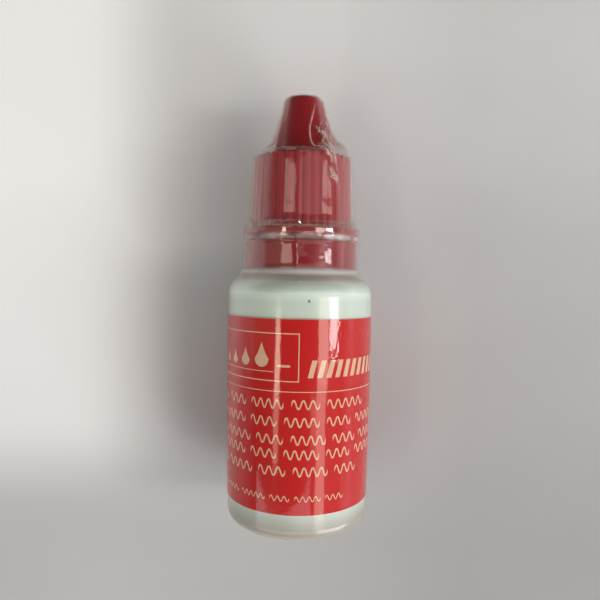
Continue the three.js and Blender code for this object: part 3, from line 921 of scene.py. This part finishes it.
class Nodes:
    """Builds a node tree. A node's inputs are given by name or number."""

    def __init__(self, owner, output, coords, spare):
        owner.use_nodes = True
        self.owner = owner
        self.tree = owner.node_tree
        self.tree.nodes.clear()
        self.output = self.tree.nodes.new(output)
        self.coord = self.node("ShaderNodeTexCoord").outputs[coords]
        self.spare = spare                      # third value of Math nodes, which they ignore

    def node(self, kind, inputs=None, **props):
        node = self.tree.nodes.new(kind)
        for key, value in props.items():
            setattr(node, key, value)
        for key, value in (inputs or {}).items():
            if isinstance(value, bpy.types.NodeSocket):
                self.tree.links.new(value, node.inputs[key])
            else:
                node.inputs[key].default_value = value
        return node

    def shader(self, kind, inputs):
        return self.node(kind, inputs).outputs[0]

    def blend(self, amount, first, second):
        return self.shader("ShaderNodeMixShader", {0: amount, 1: first, 2: second})

    def noise(self, scale, detail=4.0, roughness=0.5, vector=None):
        return self.node("ShaderNodeTexNoise", {
            "Vector": vector or self.coord, "Scale": scale, "Detail": detail,
            "Roughness": roughness}).outputs["Fac"]

    def mapping(self, scale, location=(0, 0, 0), rotation=(0, 0, 0)):
        return self.node("ShaderNodeMapping", {
            "Vector": self.coord, "Scale": scale, "Location": location,
            "Rotation": rotation}).outputs[0]

    def math(self, operation, first, second=0.0, clamp=False):
        return self.node("ShaderNodeMath", {0: first, 1: second, 2: self.spare},
                         operation=operation, use_clamp=clamp).outputs[0]

    def times(self, first, *others):
        for other in others:
            first = self.math("MULTIPLY", first, other)
        return first

    def dim(self, value, mask, amount):
        """Lowers value by a share of itself where mask is 1."""
        return self.times(value, self.math("SUBTRACT", 1.0, self.times(mask, amount)))

    def remap(self, value, over, to=(0.0, 1.0), smooth=False):
        kind = "SMOOTHSTEP" if smooth else "LINEAR"
        return self.node("ShaderNodeMapRange", {
            "Value": value, "From Min": over[0], "From Max": over[1],
            "To Min": to[0], "To Max": to[1]}, interpolation_type=kind).outputs[0]

    def ease(self, value, over, to=(0.0, 1.0)):
        return self.remap(value, over, to, smooth=True)

    def band(self, value, rise, fall):
        return self.times(self.ease(value, rise), self.ease(value, fall))

    def ramp(self, value, black, white):
        """Ramp from black to white, placed by their two positions."""
        node = self.node("ShaderNodeValToRGB", {"Fac": value})
        for element, position in zip(node.color_ramp.elements, (black, white)):
            element.position = position
        return node.outputs["Color"]

    def mix(self, first, second, amount, mode="MIX"):
        colours = [c if isinstance(c, bpy.types.NodeSocket) else (*c, 1)
                   for c in (first, second)]
        return self.node("ShaderNodeMix", {"Factor": amount, 6: colours[0], 7: colours[1]},
                         data_type="RGBA", blend_type=mode).outputs[2]

    def bump(self, height, distance, strength, normal=None):
        inputs = {"Height": height, "Distance": distance, "Strength": strength}
        if normal is not None:
            inputs["Normal"] = normal
        return self.node("ShaderNodeBump", inputs).outputs[0]

    def xyz(self, vector=None):
        return self.node("ShaderNodeSeparateXYZ", {"Vector": vector or self.coord}).outputs

    def distance(self, vector, point):
        return self.node("ShaderNodeVectorMath", {0: vector, 1: point},
                         operation="DISTANCE").outputs["Value"]

    def attribute(self, name):
        return self.node("ShaderNodeAttribute", attribute_name=name).outputs["Fac"]

    def camera_ray(self):
        return self.node("ShaderNodeLightPath").outputs["Is Camera Ray"]

    def camera_test(self, operation):
        """Compares the viewpoint's distance from CAMERA_AT with the tolerance."""
        view = self.node("ShaderNodeVectorTransform", {"Vector": (0, 0, 0)}, vector_type="POINT",
                         convert_from="CAMERA", convert_to="WORLD").outputs[0]
        return self.math(operation, self.distance(view, tuple(CAMERA_AT)), CAMERA_TOLERANCE)

    def finish(self, shader):
        self.tree.links.new(shader, self.output.inputs["Surface"])
        return self.owner

    def principled(self, inputs):
        return self.finish(self.shader("ShaderNodeBsdfPrincipled", inputs))


def material_nodes(name):
    return Nodes(bpy.data.materials.new(name), "ShaderNodeOutputMaterial", "Object", spare=0.0)


# ---- materials: heights and lengths are in metres --------------------------------------------
def bottle_material():
    """Pale polyethylene."""
    mat = material_nodes("bottle_polyethylene")
    z = mat.xyz()["Z"]
    base = mat.mix((0.60, 0.695, 0.615), (0.635, 0.725, 0.65),
                   amount=mat.noise(scale=90, detail=3, roughness=0.55))
    # painted light: paler from the shoulder up
    base = mat.mix(base, (0.83, 0.96, 0.89),
                   amount=mat.times(mat.ease(z, over=(0.0352, 0.0372)), 0.85))
    # painted shade: warmer and darker towards the bottom
    base = mat.mix(base, (0.41, 0.37, 0.325),
                   amount=mat.times(mat.ease(z, over=(0.0012, 0.0052), to=(1.0, 0.0)), 1.0))
    # painted reflection: red light from the ring is painted on the top of the shoulder and on the
    # neck behind it
    glow = mat.band(z, rise=(0.0383, 0.0389), fall=(0.0400, 0.0396))
    base = mat.mix(base, (0.62, 0.37, 0.34), amount=mat.times(glow, 0.60))
    glow = mat.band(z, rise=(0.0432, 0.0444), fall=(0.0480, 0.0466))
    base = mat.mix(base, (0.52, 0.26, 0.25), amount=mat.times(glow, 0.12))
    # a ragged speck of dried ink above the label
    angle = math.radians(6.6)
    speck = mat.distance(mat.coord,
                         (0.0115 * math.sin(angle), -0.0115 * math.cos(angle), 0.0356))
    ragged = mat.math("SUBTRACT", mat.noise(scale=4200, detail=2), 0.5)
    speck = mat.math("ADD", speck, mat.times(ragged, 0.00012))
    speck = mat.ease(speck, over=(0.00014, 0.00026), to=(1.0, 0.0))
    base = mat.mix(base, (0.06, 0.07, 0.06), amount=mat.times(speck, 0.72))
    # faint handling marks
    smudge = mat.ramp(mat.noise(scale=160, detail=4, roughness=0.6), black=0.60, white=0.75)
    base = mat.mix(base, (0.50, 0.55, 0.48), amount=mat.times(smudge, 0.08))
    return mat.principled({
        "Base Color": base,
        "Roughness": mat.remap(mat.noise(scale=900, detail=3), over=(0.3, 0.7),
                               to=(0.235, 0.265)),
        "IOR": 1.5,
        "Normal": mat.bump(mat.noise(scale=130, detail=1, roughness=0.4), distance=0.00003,
                           strength=0.25),
        "Subsurface Weight": 0.35,
        "Subsurface Radius": (1.0, 1.0, 0.9),
        "Subsurface Scale": 0.0012,
        "Coat Weight": 0.35,
        "Coat Roughness": 0.07})


def plug_material():
    """Natural polyethylene."""
    mat = material_nodes("plug_polyethylene")
    return mat.principled({
        "Base Color": mat.mix((0.72, 0.75, 0.71), (0.80, 0.82, 0.79),
                              amount=mat.noise(scale=300, detail=3)),
        "Roughness": mat.remap(mat.noise(scale=1400, detail=3), over=(0.3, 0.7),
                               to=(0.32, 0.45)),
        "Normal": mat.bump(mat.noise(scale=2600, detail=2), distance=0.000004, strength=0.5),
        "Subsurface Weight": 0.5,
        "Subsurface Radius": (1, 1, 1),
        "Subsurface Scale": 0.001})


def ink_material():
    mat = material_nodes("red_ink")
    return mat.principled({
        "Base Color": mat.mix((0.22, 0.004, 0.012), (0.32, 0.006, 0.016),
                              amount=mat.noise(scale=200, detail=3)),
        "Roughness": 0.06,
        "IOR": 1.36})


def cap_material(name, shift):
    """Crimson plastic. shift moves its texture along X."""
    mat = material_nodes(name)
    cloud = mat.noise(scale=140, detail=4, roughness=0.6,
                      vector=mat.mapping((1, 1, 1), location=(shift, 0, 0)))
    flow = mat.noise(scale=1.0, detail=3, roughness=0.6,
                     vector=mat.mapping((900, 900, 60), location=(shift, 0, 0)))
    base = mat.mix((0.33, 0.0034, 0.0110), (0.37, 0.0046, 0.0140), amount=cloud)
    # painted light: the thin skirt is painted lighter, as if light came through its wall; the
    # nose is deep
    z = mat.xyz()["Z"]
    painted_skirt_glow = mat.band(z, rise=(0.0466, 0.0472), fall=(0.0586, 0.0578))
    base = mat.mix(base, (0.42, 0.028, 0.036), amount=mat.times(painted_skirt_glow, 0.9))
    # painted shade: darker below the skirt, on the flange, the lower rim and the whole tamper
    # ring
    low = mat.ease(z, over=(0.0469, 0.0464))
    base = mat.mix(base, (0.31, 0.013, 0.020), amount=mat.times(low, 0.8))
    streaks = mat.ease(flow, over=(0.35, 0.75))
    base = mat.mix(base, (0.86, 0.80, 0.80), amount=mat.times(streaks, 0.5), mode="MULTIPLY")
    # rub wear and a painted highlight on the most exposed edges
    pointed = mat.node("ShaderNodeNewGeometry").outputs["Pointiness"]
    wear_and_edge_highlight = mat.times(mat.remap(pointed, over=(0.53, 0.62)),
                     mat.remap(mat.noise(scale=1600, detail=4), over=(0.4, 0.7)))
    base = mat.mix(base, (0.42, 0.06, 0.06), amount=mat.times(wear_and_edge_highlight, 0.35))
    normal = mat.bump(mat.noise(scale=700, detail=2), distance=0.000012, strength=0.35)
    normal = mat.bump(mat.noise(scale=6500, detail=2), distance=0.0000016, strength=0.7,
                      normal=normal)
    return mat.principled({
        "Base Color": base,
        "Roughness": mat.remap(mat.noise(scale=1100, detail=2), over=(0.25, 0.75),
                               to=(0.300, 0.345)),
        "IOR": 1.49,
        "Normal": normal,
        "Subsurface Weight": 0.08,
        "Subsurface Radius": (1, 0.2, 0.2),
        "Subsurface Scale": 0.0005})


def finish_coated(mat, base):
    """Coated sheet: long soft swells, fine orange peel and one crumpled patch."""
    swells = mat.noise(scale=1.0, detail=2, vector=mat.mapping((230, 230, 120)))
    normal = mat.bump(swells, distance=0.000035, strength=0.55)
    normal = mat.bump(mat.noise(scale=1500, detail=2, roughness=0.55), distance=0.000016,
                      strength=0.6, normal=normal)
    normal = mat.bump(mat.noise(scale=5200, detail=1), distance=0.0000012, strength=0.6,
                      normal=normal)
    # the crumpled patch is to the right of the frame and taller than wide
    angle, squeeze = 0.60, 0.62
    patch = mat.distance(mat.mapping((1, 1, squeeze)),
                         (0.0115 * math.sin(angle), -0.0115 * math.cos(angle),
                          0.0296 * squeeze))
    patch = mat.ease(patch, over=(0.0036, 0.0012))
    cells = mat.node("ShaderNodeTexVoronoi", {
        "Vector": mat.mapping((1, 1, 0.55), location=(0.01, 0.02, 0), rotation=(0.3, 0.4, 0.5)),
        "Scale": 1050.0}, feature="DISTANCE_TO_EDGE").outputs["Distance"]
    normal = mat.bump(mat.times(mat.remap(cells, over=(0.0, 0.35)), patch),
                      distance=0.000022, strength=0.8, normal=normal)
    return mat.principled({
        "Base Color": base,
        "Roughness": 0.5,
        "IOR": 1.5,
        "Specular IOR Level": 0.15,
        "Normal": normal,
        "Coat Weight": 1.0,
        "Coat Roughness": mat.remap(mat.noise(scale=420, detail=5, roughness=0.65),
                                    over=(0.35, 0.7), to=(0.045, 0.10)),
        "Coat Normal": normal,
        "Coat IOR": 1.5})


def label_material():
    mat = material_nodes("label_coated_red")
    z = mat.xyz()["Z"]
    base = mat.mix((0.50, 0.0080, 0.0090), (0.58, 0.0115, 0.0120),
                   amount=mat.noise(scale=260, detail=4, roughness=0.6))
    dots = mat.node("ShaderNodeTexVoronoi", {"Vector": mat.coord, "Scale": 5200.0})
    dots = mat.remap(dots.outputs["Distance"], over=(0.15, 0.5))
    base = mat.mix(base, (0.72, 0.03, 0.02), amount=mat.times(dots, 0.10))
    # scuffs show the pale core faintly
    scuff = mat.noise(scale=1.0, detail=5, roughness=0.7, vector=mat.mapping((700, 700, 180)))
    scuff = mat.ramp(scuff, black=0.66, white=0.74)
    base = mat.mix(base, (0.75, 0.20, 0.16), amount=mat.times(scuff, 0.16))
    # painted sheen: mottled and paler at grazing angles
    facing = mat.node("ShaderNodeLayerWeight", {"Blend": 0.5}).outputs["Facing"]
    grazing_sheen = mat.noise(scale=1.0, detail=4, roughness=0.7,
                       vector=mat.mapping((1500, 1500, 1100)))
    grazing_sheen = mat.times(mat.math("POWER", facing, 2.2),
                       mat.ramp(grazing_sheen, black=0.42, white=0.66))
    base = mat.mix(base, (0.86, 0.40, 0.38),
                   amount=mat.math("MULTIPLY", grazing_sheen, 0.20, clamp=True))
    # cut edges show the core
    top = mat.remap(z, over=(LABEL_TOP * MM - 0.00005, LABEL_TOP * MM))
    bottom = mat.remap(z, over=((LABEL_LOW + 0.05) * MM, LABEL_LOW * MM))
    base = mat.mix(base, (0.86, 0.55, 0.42),
                   amount=mat.times(mat.math("MAXIMUM", top, bottom), 0.55))
    return finish_coated(mat, base)


def print_material():
    mat = material_nodes("label_print_cream")
    base = mat.mix((0.70, 0.40, 0.27), (0.80, 0.54, 0.36),
                   amount=mat.noise(scale=1500, detail=4, roughness=0.7))
    # red showing through
    base = mat.mix(base, (0.66, 0.16, 0.10),
                   amount=mat.remap(mat.noise(scale=3400, detail=3, roughness=0.6),
                                    over=(0.56, 0.72), to=(0.0, 0.35)))
    return finish_coated(mat, base)


def film_material():
    """Clear film, with a painted sheen at grazing angles, milky folds, and painted highlights
    where it bunches.
    """
    mat = material_nodes("shrink_film_clear")
    geometry = mat.node("ShaderNodeNewGeometry").outputs
    normal = mat.bump(mat.noise(scale=900, detail=3, roughness=0.55), distance=0.000012,
                      strength=0.5)
    normal = mat.bump(mat.noise(scale=4200, detail=2), distance=0.000002, strength=0.5,
                      normal=normal)
    facing = mat.node("ShaderNodeVectorMath", {0: geometry["Incoming"], 1: normal},
                      operation="DOT_PRODUCT").outputs["Value"]
    facing = mat.math("ABSOLUTE", facing)
    grazing = mat.math("SUBTRACT", 1.0, facing, clamp=True)
    fresnel = mat.times(mat.math("POWER", grazing, 5.0), 0.95)
    fresnel = mat.math("ADD", 0.045, fresnel, clamp=True)
    z = mat.xyz()["Z"]

    bunch_and_highlight = mat.attribute("bunch_and_highlight")
    painted_red_reflection = mat.times(mat.attribute("painted_red_reflection"), mat.ease(facing, over=(0.12, 0.5)))
    # the painted red reflection goes once the sleeve has been drawn off the cap
    raised = mat.math("SUBTRACT", mat.xyz(geometry["Position"])["Z"], mat.xyz()["Z"])
    painted_red_reflection = mat.times(painted_red_reflection, mat.remap(raised, over=(0.006, 0.010), to=(1.0, 0.0)))

    gloss = mat.shader("ShaderNodeBsdfGlossy", {
        "Color": mat.mix((1, 1, 1), (1.0, 0.66, 0.64), amount=painted_red_reflection),
        "Roughness": mat.remap(mat.noise(scale=700, detail=4, roughness=0.6),
                               over=(0.35, 0.7), to=(0.035, 0.08)),
        "Normal": normal})
    clear = mat.shader("ShaderNodeBsdfTransparent", {"Color": (0.985, 0.985, 0.98, 1)})

    # colour of the milky film: plain; folded, with a painted golden highlight; bunched, with
    # painted highlights; and the painted red reflection
    tint = mat.mix((0.85, 0.83, 0.80), (1.0, 0.79, 0.58), amount=mat.attribute("fold"))
    tint = mat.mix(tint, (1.0, 0.97, 0.94),
                   amount=mat.math("MULTIPLY", bunch_and_highlight, 1.2, clamp=True))
    tint = mat.mix(tint, (0.82, 0.42, 0.42), amount=painted_red_reflection)
    through = mat.shader("ShaderNodeBsdfTranslucent", {"Color": tint, "Normal": normal})
    back = mat.shader("ShaderNodeBsdfDiffuse", {"Color": tint, "Normal": normal})
    opaque = mat.math("ADD", 0.5, mat.times(bunch_and_highlight, 0.45), clamp=True)
    milky = mat.blend(opaque, through, back)

    # amount of haze: a painted sheen at grazing angles, the folds, the painted highlights and the
    # painted red reflection
    folded = mat.times(mat.attribute("fold"),
                       mat.remap(mat.noise(scale=1500, detail=3, roughness=0.6),
                                 over=(0.3, 0.62), to=(0.35, 1.0)))
    on_skirt = mat.band(z, rise=(0.0440, 0.0480), fall=(0.0590, 0.0575))
    haze = mat.math("ADD", 0.001, mat.times(on_skirt, 0.005))
    haze = mat.math("ADD", haze, mat.times(mat.math("POWER", grazing, 1.9), 0.30), clamp=True)
    haze = mat.math("MAXIMUM", haze, mat.times(folded, 0.76), clamp=True)
    haze = mat.math("MAXIMUM", haze, bunch_and_highlight, clamp=True)
    haze = mat.math("ADD", haze, mat.times(painted_red_reflection, 0.15), clamp=True)
    return mat.finish(mat.blend(fresnel, mat.blend(haze, clear, milky), gloss))


MAT_BOTTLE = bottle_material()
MAT_PLUG = plug_material()
MAT_INK = ink_material()
MAT_CAP = cap_material("cap_polypropylene", shift=0.0)
MAT_RING = cap_material("ring_polypropylene", shift=0.37)
MAT_LABEL = label_material()
MAT_PRINT = print_material()
MAT_FILM = film_material()

# object, material, moving body, CAD node it replaces, material slot
PIECES = [
    (bottle, MAT_BOTTLE, "bottle", "bottle_body", "bottle_plastic"),
    (ink, MAT_INK, "bottle", "ink_fill", "ink"),
    (label, MAT_LABEL, "bottle", "label", "label_print"),
    (prints, MAT_PRINT, "bottle", None, "label_print"),
    (plug, MAT_PLUG, "bottle", "dropper_plug", "plug_plastic"),
    (ring, MAT_RING, "ring", "tamper_ring", "cap_plastic"),
    (cap, MAT_CAP, "cap", "screw_cap", "cap_plastic"),
    (film, MAT_FILM, "film", "shrink_film", "clear_film"),
]
for piece, material, body, cad_node, slot in PIECES:
    piece.data.materials.append(material)
    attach(piece, body)
    if cad_node:
        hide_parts(cad_node)


# ---- camera ----------------------------------------------------------------------------------
def build_camera(tilt_down, roll):
    data = bpy.data.cameras.new("camera")
    data.lens = 33.6
    data.sensor_width = 36.0
    data.clip_start, data.clip_end = 0.002, 20.0
    camera = bpy.data.objects.new("camera", data)
    bpy.context.scene.collection.objects.link(camera)
    camera.matrix_world = (Matrix.Translation(CAMERA_AT)
                           @ Matrix.Rotation(math.pi / 2 - tilt_down, 4, "X")
                           @ Matrix.Rotation(roll, 4, "Z"))
    bpy.context.scene.camera = camera


build_camera(tilt_down=0.0377, roll=0.0186)


# ---- stage: a pale sheet close behind the bottle for the main camera, and a pale floor for
# every other view -----------------------------------------------------------------------------
PALE = (1.0, 0.99, 0.975, 1)
BACKDROP = 0.62                                 # strength of the plain pale background
SHEET_Y = 0.0121


def sheet_material():
    mat = material_nodes("stage_sheet")
    main_view = mat.camera_test("LESS_THAN")
    coords = mat.xyz()
    x, z = coords["X"], coords["Z"]
    # painted light: brighter upwards and to the left, with a faint mottle
    tone = mat.times(mat.remap(z, over=(-0.010, 0.080), to=(0.66, 1.0)),
                     mat.remap(x, over=(-0.032, 0.032), to=(1.06, 0.80)),
                     mat.remap(mat.noise(scale=60), over=(0.3, 0.7), to=(0.985, 1.015)))
    # a painted shadow low on the left, a painted pool of light above it, and painted light
    # towards the top
    dim = mat.times(mat.band(x, rise=(-0.031, -0.018), fall=(0.004, -0.008)),
                    mat.band(z, rise=(0.004, 0.014), fall=(0.048, 0.034)))
    tone = mat.dim(tone, dim, amount=0.07)
    pale = mat.times(mat.band(x, rise=(-0.040, -0.024), fall=(0.010, -0.004)),
                     mat.ease(z, over=(0.036, 0.050)))
    tone = mat.times(tone, mat.math("ADD", 1.0, mat.times(pale, 0.20)),
                     mat.ease(z, over=(0.046, 0.066), to=(1.0, 1.07)))
    diffuse = mat.shader("ShaderNodeBsdfDiffuse", {
        "Color": mat.mix((0.0, 0.0, 0.0), (0.785, 0.780, 0.797), amount=tone),
        "Normal": mat.bump(mat.noise(scale=2500, detail=3), distance=0.00001, strength=0.3)})
    # painted light: the far left glows a little
    painted_glow_mask = mat.times(mat.ease(x, over=(-0.021, -0.041)), mat.ease(z, over=(-0.006, 0.012)))
    painted_glow = mat.shader("ShaderNodeEmission", {"Color": (1.0, 0.99, 0.96, 1),
                                              "Strength": mat.times(painted_glow_mask, 0.235)})
    sheet = mat.shader("ShaderNodeAddShader", {0: diffuse, 1: painted_glow})
    hole = mat.shader("ShaderNodeBsdfTransparent", {"Color": (1, 1, 1, 1)})
    return mat.finish(mat.blend(main_view, hole, sheet))


def floor_material():
    mat = material_nodes("stage_floor")
    main_view = mat.camera_test("LESS_THAN")
    seen = mat.camera_ray()
    shade = mat.mix((0.63, 0.62, 0.605), (0.66, 0.65, 0.635),
                    amount=mat.noise(scale=30, detail=3))
    # darker to everything but the camera
    shade = mat.mix((0.42, 0.41, 0.40), shade, amount=seen)
    diffuse = mat.shader("ShaderNodeBsdfDiffuse", {"Color": shade})
    glow = mat.shader("ShaderNodeEmission", {"Color": PALE, "Strength": BACKDROP})
    # fades into the backdrop away from the bottle
    away = mat.node("ShaderNodeVectorMath", {0: mat.coord}, operation="LENGTH").outputs["Value"]
    far = mat.times(mat.ease(away, over=(0.055, 0.24)), seen)
    floor = mat.blend(far, diffuse, glow)
    hole = mat.shader("ShaderNodeBsdfTransparent", {"Color": (1, 1, 1, 1)})
    return mat.finish(mat.blend(main_view, floor, hole))


def plane(name, corners, material):
    mesh = bpy.data.meshes.new(name)
    mesh.from_pydata([Vector(c) for c in corners], [], [(0, 1, 2, 3)])
    mesh.materials.append(material)
    ob = bpy.data.objects.new(name, mesh)
    bpy.context.scene.collection.objects.link(ob)


SHEET_MATERIAL = sheet_material()
FLOOR_MATERIAL = floor_material()
plane("stage_sheet", [(-0.5, SHEET_Y, -0.4), (0.5, SHEET_Y, -0.4), (0.5, SHEET_Y, 0.5),
                      (-0.5, SHEET_Y, 0.5)], SHEET_MATERIAL)
plane("stage_floor", [(-3, -3, 0), (3, -3, 0), (3, 3, 0), (-3, 3, 0)], FLOOR_MATERIAL)

# ---- lights: rectangles aimed at LIGHT_TARGET ------------------------------------------------
LIGHT_TARGET = Vector((0, 0, 0.035))
LIGHTS = [
    # name, azimuth range (degrees), elevation range (degrees), distance, radiance, colour
    ("light_window", (47.0, 62.0), (-8, 2.5), 0.6, 13.0, (1.0, 0.99, 0.98)),
    ("light_window_mid", (46, 60), (2.5, 5.0), 0.6, 5.5, (1.0, 0.98, 0.96)),
    ("light_window_upper", (46, 67), (13.8, 18.6), 0.6, 2.0, (1.0, 0.89, 0.82)),
    ("light_mid_upper", (-6, 46), (5, 22), 0.7, 0.42, (1.0, 0.95, 0.95)),
    ("light_wide", (29, 45), (-12, 1), 0.7, 5.6, (1.0, 0.91, 0.78)),
    ("light_wide_low", (29, 43), (-34, -12), 0.7, 3.8, (1.0, 0.86, 0.70)),
    ("light_wide_edge", (20, 29), (-20, -13), 0.7, 1.6, (1.0, 0.86, 0.70)),
    ("light_right", (74, 92), (-28, 10), 0.6, 0.4, (1.0, 0.97, 1.0)),
    ("light_left", (-36.5, -29.0), (-13, -3.3), 0.7, 8.6, (1.0, 0.88, 0.66)),
    ("light_left_low", (-37.5, -29.5), (-22, -13), 0.7, 3.2, (1.0, 0.86, 0.64)),
    ("light_left_ring", (-38, -17), (1.3, 7), 0.7, 2.0, (1.0, 0.82, 0.66)),
    ("light_left_side", (-80, -38), (-9, 7), 0.7, 0.3, (1.0, 0.90, 0.66)),
    ("light_left_upper", (-38, -15), (13.6, 18.5), 0.7, 1.4, (1.0, 0.86, 0.74)),
    ("light_fill_lower", (-62, 17), (-56, -28), 0.7, 1.6, (0.94, 1.0, 1.02)),
    ("light_fill_right", (42, 86), (-52, -29), 0.7, 5.0, (0.97, 1.0, 1.05)),
    ("light_lamp", (-5.8, -4.2), (76.5, 78.5), 0.7, 26.0, (1.0, 0.98, 0.95)),
    ("light_lamp_low", (-7.5, -5.5), (0, 6), 0.7, 2.6, (1.0, 0.98, 0.95)),
]


def area_light(name, azimuth, elevation, distance, radiance, colour):
    turn, lift = math.radians(sum(azimuth) / 2), math.radians(sum(elevation) / 2)
    width, height = (2 * distance * math.tan(math.radians(end - start) / 2)
                     for start, end in (azimuth, elevation))
    data = bpy.data.lights.new(name, "AREA")
    data.shape = "RECTANGLE"
    data.size, data.size_y = width, height
    data.energy = radiance * math.pi * width * height
    data.color = colour
    ob = bpy.data.objects.new(name, data)
    bpy.context.scene.collection.objects.link(ob)
    direction = Vector((math.sin(turn) * math.cos(lift), -math.cos(turn) * math.cos(lift),
                        math.sin(lift)))
    ob.location = LIGHT_TARGET + direction * distance
    ob.rotation_mode = "QUATERNION"
    ob.rotation_quaternion = (LIGHT_TARGET - ob.location).to_track_quat("-Z", "Y")
    ob.visible_camera = False


for light in LIGHTS:
    area_light(*light)


# ---- world -----------------------------------------------------------------------------------
def build_world():
    """Dark behind the camera and bright to both sides, with a plain pale backdrop for the
    camera itself."""
    world = bpy.data.worlds.new("soft_room")
    room = Nodes(world, "ShaderNodeOutputWorld", "Generated", spare=0.5)

    def ease_degrees(angle, start, end):
        return room.ease(angle, over=(math.radians(start), math.radians(end)))

    coords = room.xyz()
    azimuth = room.math("ARCTAN2", coords["X"], room.times(coords["Y"], -1.0))
    elevation = room.math("ARCSINE", coords["Z"])
    level = room.math("MAXIMUM", room.times(ease_degrees(azimuth, -66, -86), 0.72),
                      room.times(ease_degrees(azimuth, 76, 92), 0.85))
    level = room.dim(level, ease_degrees(elevation, -3, -10), amount=0.52)
    level = room.dim(level, ease_degrees(elevation, 18, 30), amount=0.62)
    level = room.math("MAXIMUM", level, 0.04)

    # from any other viewpoint the light comes from above and from three tall panels
    other_view = room.camera_test("GREATER_THAN")
    studio = room.math("ADD", 0.20, room.times(ease_degrees(elevation, 14, 60), 0.95))
    # (azimuth, half width in degrees, strength): back right, back left, left
    for centre, half, strength in ((136, 9, 2.2), (-140, 6, 1.5), (-78, 5, 1.2)):
        off = room.math("ABSOLUTE", room.math("SUBTRACT", azimuth, math.radians(centre)))
        panel = room.times(ease_degrees(off, half, half - 2.5),
                           ease_degrees(room.math("ABSOLUTE", elevation), 46, 38), strength)
        studio = room.math("ADD", studio, panel)
    level = room.math("ADD", room.times(level, room.math("SUBTRACT", 1.0, other_view)),
                      room.times(studio, other_view))
    seen = room.camera_ray()
    level = room.math("ADD", room.times(level, room.math("SUBTRACT", 1.0, seen)),
                      room.times(seen, BACKDROP))
    room.finish(room.shader("ShaderNodeBackground", {"Color": PALE, "Strength": level}))
    bpy.context.scene.world = world


build_world()

view = bpy.context.scene.view_settings
view.view_transform = "Standard"
view.look = "None"
view.exposure = 0.0
